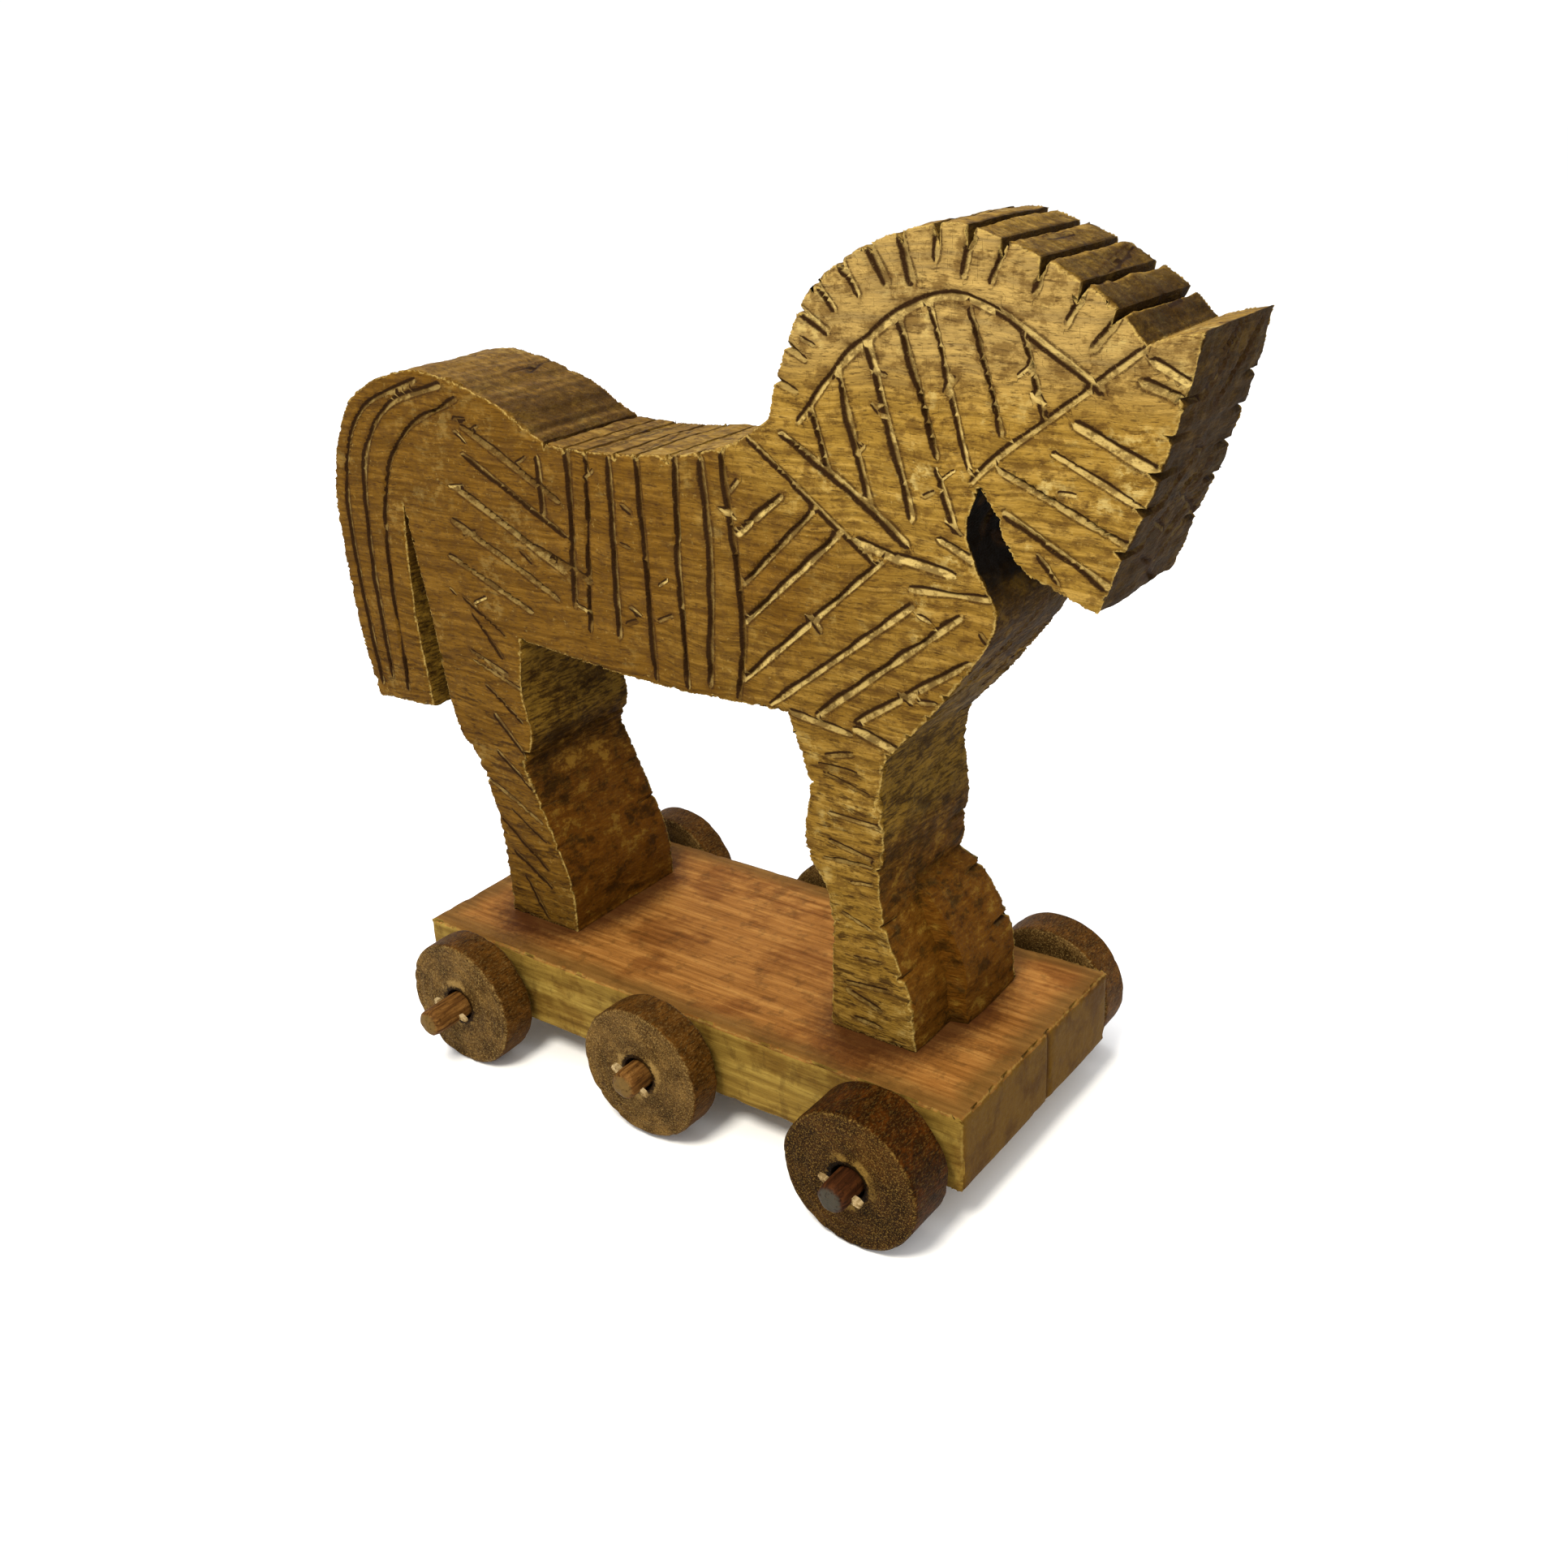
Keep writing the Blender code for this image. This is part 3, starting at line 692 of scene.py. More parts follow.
def carve(bm, points):
    """Push lines, chips and wear into the board; returns coordinates and shading facts."""
    bm.normal_update()
    co = np.array([v.co for v in bm.verts])
    normal = np.array([v.normal for v in bm.verts])
    on_flat = np.abs(np.abs(co[:, 1]) - FOOT_HALF_WIDTH) < ON_FLAT
    side_of = np.sign(co[:, 1])
    to_edge, inward = edge_distance(co, normal, on_flat, points)
    slow = noise_at(co, 9.0, 1)
    quick = noise_at(co, 1.9, 2)
    fine = noise_at(co, 0.9, 3)
    wander = noise_at(co, 4.5, 7)
    new = co.copy()
    lean = np.full(len(co), FAR_OFF)
    pale = np.zeros(len(co))
    groove = np.zeros(len(co))
    for side, lines in ((-1, near_lines), (1, far_lines)):
        here = on_flat & (side_of == side)
        depth, lean[here], pale[here] = press(
            new, here, lines, (0, 2), to_edge[here] > 0.9, wander[here])
        new[here, 1] -= side * depth * (1 + 0.4 * fine[here])
    # Sawn edges: the knife slipped over them at a slant.
    strip = ~on_flat
    inner = strip & (np.abs(co[:, 1]) < FOOT_HALF_WIDTH - 0.5)
    for here, lines, flat_axes in ((inner & (normal[:, 0] > 0.45), front_lines, (1, 2)),
                                   (inner & (normal[:, 2] > 0.6), top_lines, (1, 0))):
        depth, lean[here], pale[here] = press(
            new, here, lines, flat_axes, np.zeros(here.sum(), bool), wander[here])
        groove[here] = np.clip(depth, -0.1, 1)
    fade_nicks(new, co, strip, slow, lean, pale)
    # Chips: the flat's border is drawn inwards, most where the noise is high.
    chip = CHIP_DEPTH * np.clip(quick + 0.25 * slow - 0.10, 0, 1) + 0.12
    draw = np.where(on_flat, chip * np.clip(1 - to_edge / CHIP_REACH, 0, 1), 0.0)
    new[:, 0] += draw * inward[:, 0]
    new[:, 2] += draw * inward[:, 1]
    worn = WORN_DEPTH * np.clip(1 - to_edge / WORN_REACH, 0, 1) ** 2
    new[:, 1] -= side_of * np.where(on_flat, worn, 0.0)
    # The sawn edge: shallow facets across the thickness.
    low_sole = (normal[:, 2] < -0.9) & (co[:, 2] < SOLE_Z + 0.2)
    facet = np.where(strip & ~low_sole, SAWN * slow + RAGGED * quick - groove, 0.0)
    new[:, 0] += facet * normal[:, 0]
    new[:, 2] += facet * normal[:, 2]
    # Flats are hand-planed, not machined.
    new[:, 1] += np.where(on_flat, side_of * (PLANED * slow + FUZZY * fine), 0.0)
    step_hoof(new, strip)
    new[:, 2] = np.maximum(new[:, 2], SOLE_Z)
    new[:, 1] *= half_width_at(new[:, 2]) / FOOT_HALF_WIDTH
    edge = np.where(on_flat, to_edge, FOOT_HALF_WIDTH - np.abs(co[:, 1]))
    stain_and_shade, wash_and_shading = stain_and_painted_shading(co, normal, on_flat)
    facts = {"lean": lean, "cut": np.minimum(np.abs(lean), 6), "pale": pale,
             "edge": edge, "stain_and_shade": stain_and_shade, "wash_and_shading": wash_and_shading}
    return new, facts


carved, board_facts = carve(board, outline)
print("width at the hooves, mm:", round(float(np.ptp(carved[:, 1])), 1))

# %% Make the board an object


def finish_mesh(bm, name, points=None, crease=None):
    """Write a bmesh made in millimetres to an object at the origin, in metres.

    Its points can be given anew first, and it is shaded smooth up to a crease angle."""
    if points is not None:
        for vert, place in zip(bm.verts, points):
            vert.co = place
    bmesh.ops.scale(bm, vec=(MM, MM, MM), verts=bm.verts)
    mesh = bpy.data.meshes.new(name)
    bm.to_mesh(mesh)
    bm.free()
    if crease is not None:
        mesh.shade_smooth()
        mesh.set_sharp_from_angle(angle=math.radians(crease))
    obj = bpy.data.objects.new(name, mesh)
    bpy.context.scene.collection.objects.link(obj)
    return obj


def keep(mesh, name, values):
    """Store one number per point for the material to read."""
    layer = mesh.attributes.new(name, "FLOAT", "POINT")
    layer.data.foreach_set("value", np.asarray(values, np.float32))


horse = finish_mesh(board, "carved_horse", carved, 38)
for name, values in board_facts.items():
    keep(horse.data, name, values)
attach(horse, "figure")
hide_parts("horse_body")
triangles = sum(len(face.vertices) - 2 for face in horse.data.polygons)
print("horse points:", len(horse.data.vertices), "triangles:", triangles)

# %% [markdown]
# ## Antique-stained limewood
#
# Pale, close-grained carving wood such as lime, brushed with a brown
# water stain and wiped off again. The stain stays in the knife cuts, in the
# pores and as soft clouds on the flats; edges that hands touch are rubbed
# back to the bare wood. Shade and light are painted in as well: painted shade
# on the sawn fronts and undersides, in the throat, on the rump and shoulder
# and on the upper wall of each cut, painted light on the tops, the lower wall
# of each cut and the rubbed edges. So the colour is built in that order: grain,
# pores, clouds, stained and shaded cuts, rubbed edges.

# %% Carved wood material
GRAIN_LENGTH = 16.0     # mm
GRAIN_GAP = 0.75        # mm between growth lines on a flat-sawn face
SHEEN = 0.02            # dry stained wood hardly shines


def new_wood(name):
    """An empty wood: material, its own node adder, shader and millimetre space."""
    mat = bpy.data.materials.new(name)
    mat.use_nodes = True
    put = functools.partial(add, mat.node_tree)
    return (mat, put, mat.node_tree.nodes["Principled BSDF"],
            put(STRETCH, {0: put(SPACE), "Scale": 1 / MM}))


def spots(put, space, scale, detail, roughness):
    """A noise pattern with a different frequency along each axis, in 1/mm."""
    moved = put(MOVED, {"Vector": space, "Scale": scale})
    return put(NOISE, {"Vector": moved, "Scale": 1.0, "Detail": detail, "Roughness": roughness})


def share(put, *ranges):
    """How much of a coat shows: the product of ready values and (value, from, to) spans."""
    shares = [put(SPAN, span) if isinstance(span, tuple) else span for span in ranges]
    return functools.reduce(lambda a, b: put(TIMES, (a, b)), shares)


def coats(put, base, *layers, **how):
    """Lay coats over a base colour, stains and painted light and shading alike, each given as its ranges
    and then its colour.
    """
    for *ranges, code in layers:
        base = put(MIX, {0: share(put, *ranges), 6: base, 7: code}, **how)
    return base


def close(put, shader, base, height, depth, rough):
    """Wire colour, roughness and a bump depth mm deep to the shader."""
    links = shader.id_data.links
    links.new(base, shader.inputs["Base Color"])
    shader.inputs["Roughness"].default_value = rough
    shader.inputs["Specular IOR Level"].default_value = SHEEN
    bump = put(BUMP, {"Strength": 0.7, "Distance": depth * MM, "Height": height})
    links.new(bump, shader.inputs["Normal"])


def carved_wood(name):
    mat, put, shader, space = new_wood(name)
    warp = put(NOISE, {"Vector": space, "Scale": 0.06, "Detail": 2.0}, out="Color")
    bent = put(VECTOR_SUM, (warp, (0.0, 3.0, 3.0), space))
    grain = spots(put, bent, (1 / GRAIN_LENGTH, 0.5 / GRAIN_GAP, 1 / GRAIN_GAP), 5.0, 0.6)
    # Pores: dashes about 2 mm long and a third of a millimetre high.
    pore = spots(put, bent, (0.50, 1.8, 3.1), 3.0, 0.65)
    crack = spots(put, bent, (0.20, 0.5, 0.95), 5.0, 0.65)
    cloud = spots(put, space, (0.10, 0.10, 0.10), 6.0, 0.62)
    mottle = spots(put, space, (0.34, 0.40, 0.48), 6.0, 0.70)
    fleck = spots(put, space, (1.1, 1.1, 1.3), 5.0, 0.75)
    fibre = spots(put, space, (0.7, 0.35, 2.2), 5.0, 0.7)
    daub = spots(put, space, (0.22, 0.16, 0.26), 7.0, 0.72)
    lean, cut, pale, edge, stain_and_shade, wash_and_shading = (
        put(FACT, attribute_name=fact) for fact in ("lean", "cut", "pale", "edge", "stain_and_shade", "wash_and_shading"))
    height_mm = put(SPLIT, (space,))
    base = put(TONES, (grain,), ((0.34, "#61481A"), (0.50, "#7C5F24"), (0.64, "#907234")))
    # Clouds of stain and painted shade darken the wood, most on the rump and the shoulder, least on the
    # head and the tops.
    base = coats(put, base, ((put(SUM, (cloud, 0.9, wash_and_shading)), 0.60, 1.50, 0, 0.85), "#B09A6C"),
                 blend_type="MULTIPLY")
    # Weather checks: dark splits along the grain, most of them on the legs.
    checks = share(put, (crack, 0.54, 0.63), (height_mm, 66, 84, 0.75, 0.22))
    base = coats(
        put, base,
        ((wash_and_shading, -0.50, -0.10, 0.20, 0), "#B4A070"),
        ((mottle, 0.47, 0.62, 0, 0.66), "#4A3212"),
        ((pore, 0.54, 0.68, 0, 0.70), "#33200C"),
        ((fleck, 0.59, 0.72, 0, 0.45), "#9C8448"),
        # Bare spots, most where the stain is thin and on the tops with painted light.
        ((cloud, 0.36, 0.47, 1, 0), (mottle, 0.42, 0.52, 1, 0), (wash_and_shading, 0.2, 0.8, 0.80, 0.15),
         "#A48E54"),
        (checks, "#2C1A09"))
    # Sawn fronts and undersides hold stain that was never rubbed back, and
    # painted shade, as they face away from the light: orange-brown low down, an
    # olive band above it, nearly black at the head.
    front = put(TONES, (fibre,), ((0.36, "#1C1003"), (0.52, "#382307"), (0.68, "#624818")))
    front = coats(
        put, front,
        ((put(SUM, (daub, 60.0, height_mm)), 68, 92, 0.60, 0), "#5C3304"),
        ((height_mm, 57, 62), (height_mm, 84, 92, 1, 0), (fibre, 0.40, 0.56, 0.1, 0.7), "#6C521A"),
        ((daub, 0.50, 0.62, 0, 0.75), "#1C0D01"),
        ((daub, 0.36, 0.46, 0.55, 0), "#7A5C20"),
        ((height_mm, 88, 104, 0, 0.62), "#1E1204"))
    base = coats(put, base, ((put(SUM, (fibre, 0.8, stain_and_shade)), 0.55, 1.15, 0, 0.93), front))
    # Near-black stain and painted shade in the throat's recess, stain that spread
    # beside a cut, the cut's upper wall dark with stain and painted shade, its
    # lower wall pale as bare wood and painted highlight, its far rim, and edges
    # rubbed back to bare wood with a painted highlight that stays dim on faces
    # with painted shade. `cut` has no sign, so it stays large half way between two
    # cuts, where `lean` turns over.
    ragged = put(SUM, (fleck, 0.9, cut))
    base = coats(
        put, base,
        ((put(SUM, (mottle, 0.5, stain_and_shade)), 1.35, 1.95, 0, 0.96), "#070402"),
        ((ragged, 1.2, 3.4, 0.60, 0), mottle, "#3A240D"),
        ((ragged, 1.25, 1.65, 1, 0), (put(SUM, (fleck, 0.6, lean)), -0.10, 0.45, 1, 0.30),
         (fleck, 0.28, 0.42, 0.6, 1), "#241507"),
        ((lean, -0.30, 0.20), (cut, 0.85, 1.20, 1, 0), pale, (mottle, 0.44, 0.56, 1, 0.25),
         "#AC9458"),
        ((lean, 0.95, 1.2), (lean, 1.4, 1.8, 1, 0), (fleck, 0.40, 0.52, 0, 0.75), "#2E1C0A"),
        ((put(SUM, (fleck, 1.5, edge)), 0.66, 1.05, 0.80, 0), (stain_and_shade, 0.75, 1.2, 1, 0.15),
         "#A08648"))
    height = grain
    for value, gain in ((pore, -1.2), (fleck, 0.8), (fibre, 0.5), (checks, -0.8)):
        height = put(SUM, (value, gain, height))
    close(put, shader, base, height, 0.35, 0.6)
    return mat


limewood = carved_wood("antique_stained_limewood")
horse.data.materials.append(limewood)
print("material:", limewood.name, "nodes:", len(limewood.node_tree.nodes))

# %% [markdown]
# ## The plank
#
# A strip of red-brown softwood, darker in blots and round the hooves. It is the
# same kind of sawn board lying flat: its side outline, with the three axle holes
# in it, is filled, pushed across the plank's width and sliced. Its edges are
# chipped.

# %% Plank
WHEELS = [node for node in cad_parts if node.endswith("_wheel")]
AXLE_NODES = [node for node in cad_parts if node.endswith("_axle")]
HOLE = 2.64             # mm, radius of an axle hole
HOLE_SIDES = 40
PLANK_ROWS = 64         # rows of faces across the plank
PLANK_STEP = 0.8        # mm between points of its outline
PLANK_SLICES = (1.1, 0.9)       # mm between saw planes, along it and up
HOLE_ROOM = 3.4         # mm from an axle's middle within which the sides stay whole
ON_SKIN = 0.05          # mm within which a point counts as on the plank's skin
HOOF_REACH = 15.2       # mm either side of the middle that the hooves stand on
HOOF_SPANS = ((26, 48), (-50, -30))
KERF_Y = 3.4            # mm, where a stray saw mark runs down the front end


def middle(node):
    low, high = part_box(node)
    return (Vector(low) + Vector(high)) / 2


def closed_loop(bm, points):
    """New points, and the edges that join them into a closed loop."""
    verts = [bm.verts.new(point) for point in points]
    return verts, [bm.edges.new((a, b)) for a, b in zip(verts, verts[1:] + verts[:1])]


plank_low, plank_high = (Vector(corner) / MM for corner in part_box("base_plank"))
plank_half = (plank_high.y - plank_low.y) / 2


def plank_mesh():
    bm = bmesh.new()
    corners = [(plank_low.x, plank_low.z), (plank_high.x, plank_low.z),
               (plank_high.x, plank_high.z), (plank_low.x, plank_high.z)]
    path = []
    for a, b in zip(corners, corners[1:] + corners[:1]):
        count = round((Vector(b) - Vector(a)).length / PLANK_STEP)
        path += [Vector(a).lerp(Vector(b), i / count) for i in range(count)]
    loops = closed_loop(bm, [(p.x, -plank_half, p.y) for p in path])[1]
    turns = [2 * math.pi * i / HOLE_SIDES for i in range(HOLE_SIDES)]
    for node in AXLE_NODES:
        hole = middle(node) / MM
        loops += closed_loop(bm, [(hole.x + HOLE * math.cos(turn), -plank_half,
                                   hole.z + HOLE * math.sin(turn)) for turn in turns])[1]
    filled = bmesh.ops.triangle_fill(bm, use_beauty=True, edges=loops)["geom"]
    faces = [g for g in filled if isinstance(g, bmesh.types.BMFace)]
    thickened(bm, faces, plank_half, PLANK_ROWS, PLANK_SLICES)
    return bm


def wear_plank(bm):
    """Chipped edges, slow unevenness and a stray saw mark down the front end.

    Returns the points, their distances to the nearest edge and how far they lie in the mark."""
    co = np.array([v.co for v in bm.verts])
    new = co.copy()
    quick = noise_at(co, 2.4, 31)
    slow = noise_at(co, 11.0, 32)
    from_low = co - np.array(plank_low)
    to_high = np.array(plank_high) - co
    gaps = np.minimum(from_low, to_high)
    sign = np.where(from_low < to_high, 1.0, -1.0)
    hole = np.full(len(co), 99.0)
    for node in AXLE_NODES:
        place = middle(node) / MM
        hole = np.minimum(hole, np.hypot(co[:, 0] - place.x, co[:, 2] - place.z))
    clear = hole > HOLE_ROOM
    to_edge = np.sort(gaps, axis=1)[:, 1]       # the smallest gap leads to the nearest face
    chip = 0.35 + 1.3 * np.clip(quick + 0.4 * slow - 0.10, 0, 1)
    for axis in range(3):
        others = [i for i in range(3) if i != axis]
        near_edge = np.minimum(gaps[:, others[0]], gaps[:, others[1]])
        on_face = gaps[:, axis] < ON_SKIN
        sunk = np.where(on_face, chip * np.clip(1 - near_edge / 1.2, 0, 1) ** 1.5, 0.0)
        sunk += np.where(on_face, 0.10 * (slow + 0.6) + 0.05 * (quick + 0.6), 0.0)
        new[:, axis] += np.where(clear | (axis == 1), sign[:, axis] * np.clip(sunk, 0, 2), 0.0)
    # Keep the two patches under the hooves flat so that they stay glued.
    top = to_high[:, 2] < ON_SKIN
    under = [(co[:, 0] > low) & (co[:, 0] < high) for low, high in HOOF_SPANS]
    hoof = (np.abs(co[:, 1]) < HOOF_REACH) & (under[0] | under[1])
    new[:, 2] = np.where(top & hoof, plank_high.z - 0.05, new[:, 2])
    front = to_high[:, 0] < ON_SKIN
    kerf = np.clip(1 - np.abs(co[:, 1] - KERF_Y - 0.25 * quick) / 0.7, 0, 1)
    new[:, 0] -= np.where(front, 0.8 * kerf, 0.0)
    return new, to_edge, np.where(front, kerf, 0.0)


plank_bm = plank_mesh()
plank_points, plank_edge, plank_kerf = wear_plank(plank_bm)
plank = finish_mesh(plank_bm, "worn_plank", plank_points, 40)
keep(plank.data, "edge", plank_edge)
keep(plank.data, "kerf", plank_kerf)
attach(plank, "figure")
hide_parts("base_plank")
print("plank points:", len(plank.data.vertices))

# %% [markdown]
# ### Plank finish
#
# The top took the stain orange-red; the long sides show yellow sapwood. The
# two are told apart by the way the surface faces, which the Geometry node
# gives before any bump. Growth lines run along the plank.

# %% Plank material
HOOF_MIDDLES = (35.5, -40.0)
HOOF_PATCH_SCALE = (1 / 10.5, 1 / 16.5, 0.25)     # one over a hoof patch's reach along each axis, in mm


def plank_wood(name):
    mat, put, shader, space = new_wood(name)
    grain = spots(put, space, (0.05, 0.9, 0.9), 6.0, 0.62)
    fibre = spots(put, space, (0.25, 3.2, 3.2), 3.0, 0.7)
    cloud = spots(put, space, (0.10, 0.12, 0.12), 6.0, 0.6)
    fleck = spots(put, space, (0.9, 0.9, 0.9), 5.0, 0.75)
    blot = spots(put, space, (0.35, 0.35, 0.20), 6.0, 0.65)
    kerf, edge = (put(FACT, attribute_name=fact) for fact in ("kerf", "edge"))
    face = put(NORMAL)
    up, ahead = (put(SPLIT, (face,), out=axis) for axis in "ZX")
    top = put(TONES, (grain,), ((0.32, "#6A4218"), (0.50, "#865827"), (0.66, "#9C6E36")))
    side = put(TONES, (grain,), ((0.30, "#5C4519"), (0.50, "#7A6028"), (0.70, "#947B39")))
    base = coats(
        put, side,
        ((up, 0.35, 0.75), top),
        ((fibre, 0.58, 0.72, 0, 0.5), "#3E2610"),
        ((ahead, 0.5, 0.9, 0, 0.90), "#4E340A"))
    base = coats(put, base, ((cloud, 0.47, 0.62, 0, 0.50), "#9A744A"), blend_type="MULTIPLY")
    base = coats(
        put, base,
        ((blot, 0.52, 0.66, 0, 0.38), "#3C260E"),
        ((kerf, 0.1, 0.7, 0, 0.9), "#3A2410"),
        ((put(SUM, (cloud, 7.0, edge)), 5.5, 9.5, 0.6, 0), (up, 0.6, 0.9), "#4E3A18"),
        ((put(SUM, (fleck, 2.4, edge)), 1.10, 1.6, 0.38, 0), "#92793E"))
    # Darker patches on the top round each hoof.
    for x in HOOF_MIDDLES:
        from_hoof = put(FROM_POINT, (space, (x, 0.0, plank_high.z)))
        far = put(LENGTH, (put(MOVED, {"Vector": from_hoof, "Scale": HOOF_PATCH_SCALE}),))
        base = coats(put, base, ((put(SUM, (fleck, 0.7, far)), 1.35, 2.05, 0.85, 0), "#33190A"))
    close(put, shader, base, put(SUM, (grain, 1.0, fleck)), 0.25, 0.55)
    return mat


plank.data.materials.append(plank_wood("sappy_red_pine"))
print("material:", plank.data.materials[0].name)

# %% [markdown]
# ## Wheels sawn from round stock
#
# Each wheel is a slice of a dowel about 25 mm across with a hole drilled
# through it. The section of half a wheel is drawn as a polyline and turned
# once round the axle with `spin`, then the saw's unevenness is added. The
# front near slice came out thicker than the others.

# %% Wheels
BORE = 3.0              # mm, radius of a wheel's hole
TURN_STEPS = 120        # faces round a turned piece
WELD = 0.001            # mm within which spun points become one


def turned(section, y_sign=1.0):
    """Spin a closed (radius, y) section once round the Y axis."""
    bm = bmesh.new()
    verts, edges = closed_loop(bm, [(r, y * y_sign, 0) for r, y in section])
    bmesh.ops.spin(bm, geom=verts + edges, cent=(0, 0, 0), axis=(0, 1, 0), dvec=(0, 0, 0),
                   angle=2 * math.pi, steps=TURN_STEPS, use_merge=True)
    bmesh.ops.remove_doubles(bm, verts=bm.verts, dist=WELD)
    bmesh.ops.recalc_face_normals(bm, faces=bm.faces)
    return bm


def wheel_section(radius, thick):
    """Hub, dished face, rounded rim, tread and plain back."""
    half = thick / 2
    face = [(BORE, -half + 0.7), (3.2, -half + 0.35), (4.0, -half + 0.25), (5.2, -half + 0.35)]
    face += [(r, -half + 0.25 * math.sin(r * 1.3) ** 2 + 0.05) for r in np.arange(6.0, radius - 1, 0.7)]
    rim = [(radius - 0.75, -half + 0.08), (radius - 0.3, -half + 0.25), (radius - 0.05, -half + 0.6)]
    tread = [(radius, y) for y in np.linspace(-half + 1.0, half - 1.0, 9)]
    back = [(radius - 0.05, half - 0.6), (radius - 0.3, half - 0.25), (radius - 0.8, half - 0.05)]
    back += [(r, half) for r in (10.0, 8.0, 6.0, 4.5)]
    bore = [(3.4, half), (BORE, half - 0.5)] + [(BORE, y) for y in np.linspace(half - 1.2, -half + 1.6, 4)]
    return face + rim + tread + back + bore


def measure(node):
    """Centre, radius and length along y of a round solid, in mm."""
    low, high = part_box(node)
    return middle(node) / MM, (high.z - low.z) / 2 / MM, (high.y - low.y) / MM


def build_wheel(node, seed):
    centre, radius, thick = measure(node)
    outward = -1.0 if centre.y < 0 else 1.0
    bm = turned(wheel_section(radius, thick), -outward)
    co = np.array([v.co for v in bm.verts])
    reach = np.hypot(co[:, 0], co[:, 2])
    slow = noise_at(co, 6.5, seed)
    quick = noise_at(co, 1.6, seed + 1)
    rim = np.clip((reach - BORE - 0.6) / 1.5, 0, 1)
    pull = rim * (0.20 * (slow + 0.55) + 0.05 * (quick + 0.5))
    corner = np.clip(1 - np.abs(np.abs(co[:, 1]) - thick / 2) / 1.2, 0, 1)
    pull += rim * corner * np.clip(reach - radius + 1.2, 0, 1) * 0.7 * np.clip(quick - 0.20, 0, 1)
    scale = np.clip(1 - pull / np.maximum(reach, 1), 0.8, 1)
    new = co * np.stack([scale, np.ones(len(co)), scale], 1)
    new[:, 1] -= np.sign(co[:, 1]) * corner * rim * (0.22 * (slow + 0.6) + 0.08 * (quick + 0.6))
    obj = finish_mesh(bm, node.replace("wheel", "turned_wheel"), new + centre, 45)
    keep(obj.data, "reach", reach)
    keep(obj.data, "rim", (thick / 2 - np.abs(co[:, 1])) + np.clip(radius - reach, 0, 9))
    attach(obj, node)
    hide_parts(node)
    return obj


wheels = {node: build_wheel(node, 40 + 3 * i) for i, node in enumerate(WHEELS)}
print("wheels:", ", ".join(wheels))

# %% [markdown]
# ### End grain
#
# The flat of a wheel is end grain: growth rings round the pith, fine pores
# that drank the stain, and a paler circle near the rim and the hub, partly worn
# wood and partly painted highlight, with painted shade round the hole. The
# rings are read from distances kept on the mesh, so they stay round the hole.
# The front near wheel is the darkest.

# %% Wheel materials
RING_TURN = 6.5         # radians of growth wave per mm of radius


def tone_stops(tones, spread):
    """Three tones as ramp stops around the middle of a pattern."""
    return tuple(zip((0.5 - spread, 0.5, 0.5 + spread), tones))


def wheel_wood(name, tones, tread, worn, dark):
    mat, put, shader, space = new_wood(name)
    reach, rim = (put(FACT, attribute_name=fact) for fact in ("reach", "rim"))
    slow = spots(put, space, (0.20, 0.20, 0.20), 5.0, 0.6)
    fleck = spots(put, space, (1.5, 1.5, 1.5), 4.0, 0.75)
    dust = spots(put, space, (3.6, 1.5, 3.6), 3.0, 0.8)
    pore = spots(put, space, (3.2, 0.8, 3.2), 2.0, 0.6)
    across = spots(put, space, (0.55, 0.30, 0.55), 6.0, 0.72)
    bowed = put(SUM, (slow, 2.2, reach))
    wave = put(SINE, (put(SUM, (bowed, RING_TURN, 0.0)),))
    growth = put(SUM, (wave, 0.035, slow))
    facing = put(ABSOLUTE, (put(SPLIT, (put(NORMAL),), out="Y"),))
    hub = put(SUM, (fleck, 2.6, reach))
    base = coats(
        put, put(TONES, (across,), tone_stops(tread, 0.18)),
        ((facing, 0.45, 0.8), put(TONES, (growth,), tone_stops(tones, 0.16))),
        ((pore, 0.52, 0.66, 0, 0.7), dark),
        ((dust, 0.51, 0.63, 0, 0.55), (facing, 0.4, 0.8, 0.35, 1), worn),
        # Pale rings at the rim and round the hub, worn wood and painted highlight, then painted shade next
        # to the hole.
        ((put(SUM, (fleck, 2.2, rim)), 1.15, 1.75, 0.75, 0), worn),
        ((hub, 6.0, 7.0, 1, 0), (slow, 0.48, 0.60, 0.0, 0.6), worn),
        ((hub, 4.9, 5.5, 0.95, 0), dark))
    close(put, shader, base, put(SUM, (pore, 1.0, fleck)), 0.3, 0.52)
    return mat


dark_slice = wheel_wood("walnut_stained_end_grain", ("#190C02", "#2A1806", "#3E260C"),
                        ("#140700", "#2A1300", "#482302"), "#80642F", "#0C0501")
light_slice = wheel_wood("oak_stained_end_grain", ("#2F1F0A", "#473216", "#5F4622"),
                         ("#2A1703", "#432808", "#5A3810"), "#907442", "#1A0D02")
for node, obj in wheels.items():
    obj.data.materials.append(dark_slice if node == "front_near_wheel" else light_slice)
print("wheel materials:", dark_slice.name, light_slice.name)

# %% [markdown]
# ## Axle pegs and linchpins
#
# The axles are whittled dowel: not quite round, with blunt, knife-rounded
# ends. A sliver of the pale wood is pushed through each end outside the wheel
# to stop it sliding off. Both are turned sections with a little whittling, and
# the slivers are four-sided and taper.

# %% Axles and pins
KNIFE_FACETS = 7        # flats whittled round an axle


def axle_section(radius, half):
    """(radius, y) from one rounded end to the other, closed on the axis side."""
    tip = [(0.02, -half), (radius * 0.45, -half + 0.10), (radius * 0.75, -half + 0.40),
           (radius * 0.93, -half + 0.95), (radius, -half + 1.9)]
    shaft = [(radius, y) for y in np.arange(-half + 2.6, half - 2.4, 1.1)]
    other = [(r, -y) for r, y in reversed(tip)]
    return tip + shaft + other


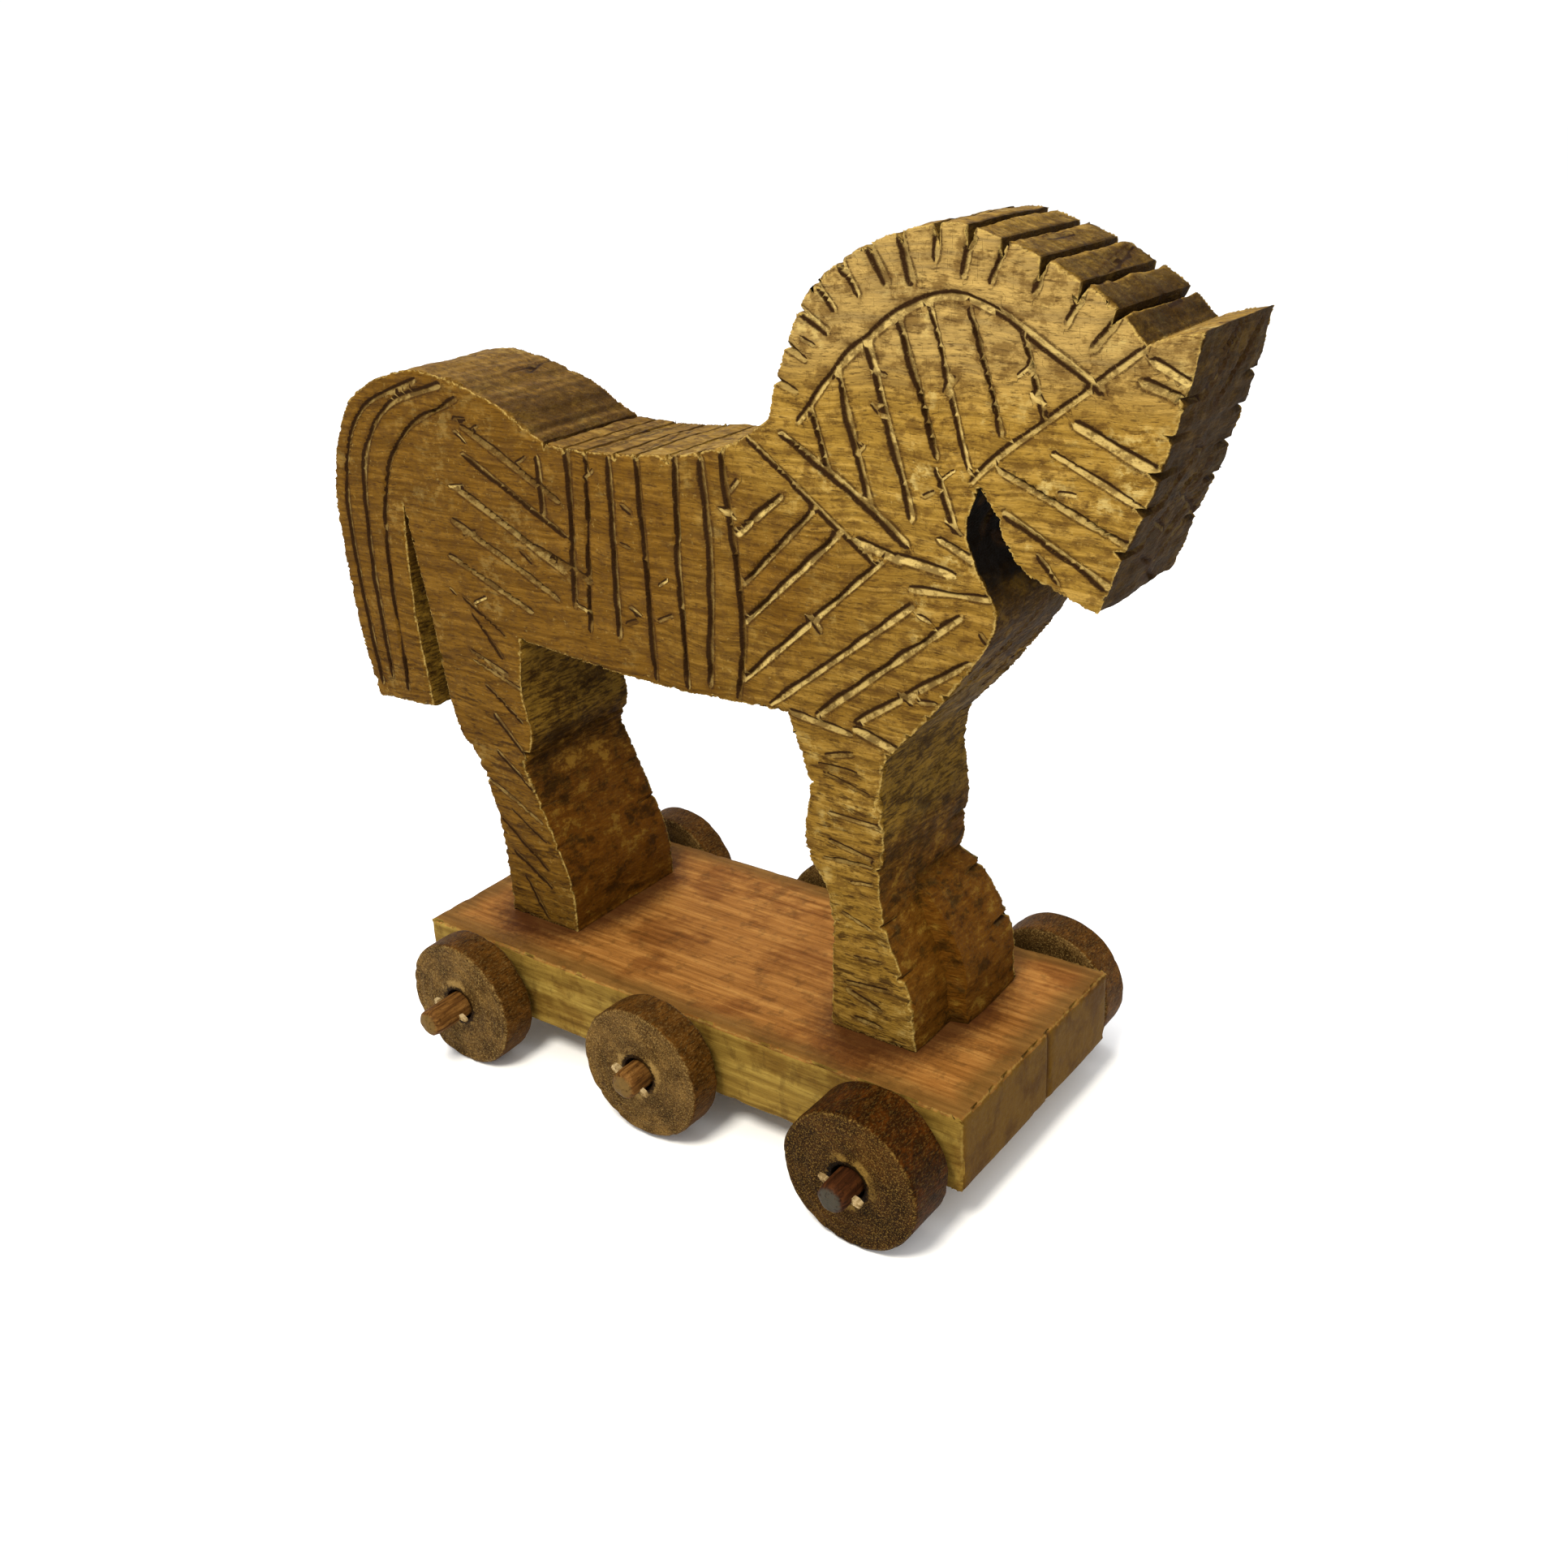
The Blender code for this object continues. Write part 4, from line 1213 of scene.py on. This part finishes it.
def build_axle(node, seed):
    centre, radius, length = measure(node)
    half = length / 2
    bm = turned(axle_section(radius, half))
    co = np.array([v.co for v in bm.verts])
    angle = np.arctan2(co[:, 2], co[:, 0])
    seen = np.abs(co[:, 1]) > plank_half + 0.6
    facets = 0.5 + 0.5 * np.cos(angle * KNIFE_FACETS + 2.2 * noise_at(co * [0.1, 1, 0.1], 5.0, seed))
    pull = np.where(seen, 0.10 * facets + 0.06 * (noise_at(co, 1.5, seed + 1) + 0.5), 0.02)
    scale = 1 - np.clip(pull, 0, 0.4) / radius
    new = co * np.stack([scale, np.ones(len(co)), scale], 1)
    end = np.abs(co[:, 1]) > half - 0.6
    new[:, 1] -= np.where(end, np.sign(co[:, 1]) * 0.25 * (noise_at(co, 1.6, seed + 2) + 0.6), 0)
    obj = finish_mesh(bm, node.replace("axle", "whittled_axle"), new + centre, 50)
    keep(obj.data, "end", half - np.abs(co[:, 1]))
    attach(obj, "figure")
    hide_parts(node)
    return obj


def build_pin(node, seed):
    """A tapering sliver with chipped ends, fitted to the box of its solid."""
    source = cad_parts[node]
    points = np.array([source.matrix_world @ v.co for v in source.data.vertices]) / MM
    centre = points.mean(axis=0)
    direction = np.linalg.svd(points - centre)[2][0]
    length = np.ptp((points - centre) @ direction)
    bm = bmesh.new()
    bmesh.ops.create_cube(bm, size=1.0)
    for axis, cuts in ((2, 9), (0, 2), (1, 2)):
        edges = [e for e in bm.edges
                 if abs(e.verts[0].co[axis] - e.verts[1].co[axis]) > 0.5]
        bmesh.ops.subdivide_edges(bm, edges=edges, cuts=cuts, use_grid_fill=True)
    turn = Vector((0, 0, 1)).rotation_difference(Vector(direction)).to_matrix()
    for vert in bm.verts:
        along = vert.co.z
        thin = 1 - 0.30 * (along + 0.5) - 0.25 * (abs(along) > 0.45)
        rough = 0.10 * noise.noise(vert.co * 9 + Vector((seed, 0, 0)))
        local = Vector((vert.co.x * (1.25 * thin + rough), vert.co.y * (1.0 * thin + rough),
                        along * (length - 0.3) + rough))
        vert.co = turn @ local + Vector(centre)
    bmesh.ops.recalc_face_normals(bm, faces=bm.faces)
    obj = finish_mesh(bm, node.replace("pin", "sliver_pin"), crease=35)
    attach(obj, "figure")
    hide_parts(node)
    return obj


def peg_wood(name, tones, end_tone, dark):
    mat, put, shader, space = new_wood(name)
    grain = spots(put, space, (1.6, 0.12, 1.6), 4.0, 0.6)
    fleck = spots(put, space, (1.3, 1.3, 1.3), 4.0, 0.7)
    base = put(TONES, (grain,), tone_stops(tones, 0.16))
    if end_tone:
        end = put(SUM, (fleck, 0.8, put(FACT, attribute_name="end")))
        base = coats(put, base, ((end, 0.6, 1.3, 0.85, 0), end_tone))
    base = coats(put, base, ((fleck, 0.54, 0.66, 0, 0.6), dark))
    close(put, shader, base, fleck, 0.2, 0.5)
    return mat


dark_pegs = peg_wood("stained_birch_dowel", ("#1E0F06", "#321A0B", "#482811"), "#3A3830",
                     "#140803")
light_pegs = peg_wood("worn_birch_dowel", ("#38220E", "#573817", "#745026"), "#5C4826", "#241206")
slivers = peg_wood("limewood_sliver", ("#5C4524", "#86704A", "#AE9870"), None, "#33230F")
for i, node in enumerate(AXLE_NODES):
    build_axle(node, 70 + i).data.materials.append(
        dark_pegs if node == "front_axle" else light_pegs)
PIN_NODES = [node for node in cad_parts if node.endswith("_pin")]
for i, node in enumerate(PIN_NODES):
    build_pin(node, 80 + i).data.materials.append(slivers)
print("axles:", len(AXLE_NODES), "pins:", len(PIN_NODES))

# %% Plain floor
FLOOR_HALF = 3000.0     # mm

floor_bm = bmesh.new()
bmesh.ops.create_grid(floor_bm, x_segments=2, y_segments=2, size=FLOOR_HALF)
floor = finish_mesh(floor_bm, "floor")
paper = bpy.data.materials.new("matt_white_paper")
paper.use_nodes = True
paper_shader = paper.node_tree.nodes["Principled BSDF"]
for socket, value in (("Base Color", colour("#FCFCFC")), ("Roughness", 1.0),
                      ("Specular IOR Level", 0.0)):
    paper_shader.inputs[socket].default_value = value
floor.data.materials.append(paper)
print("floor", floor.dimensions.x, "m")
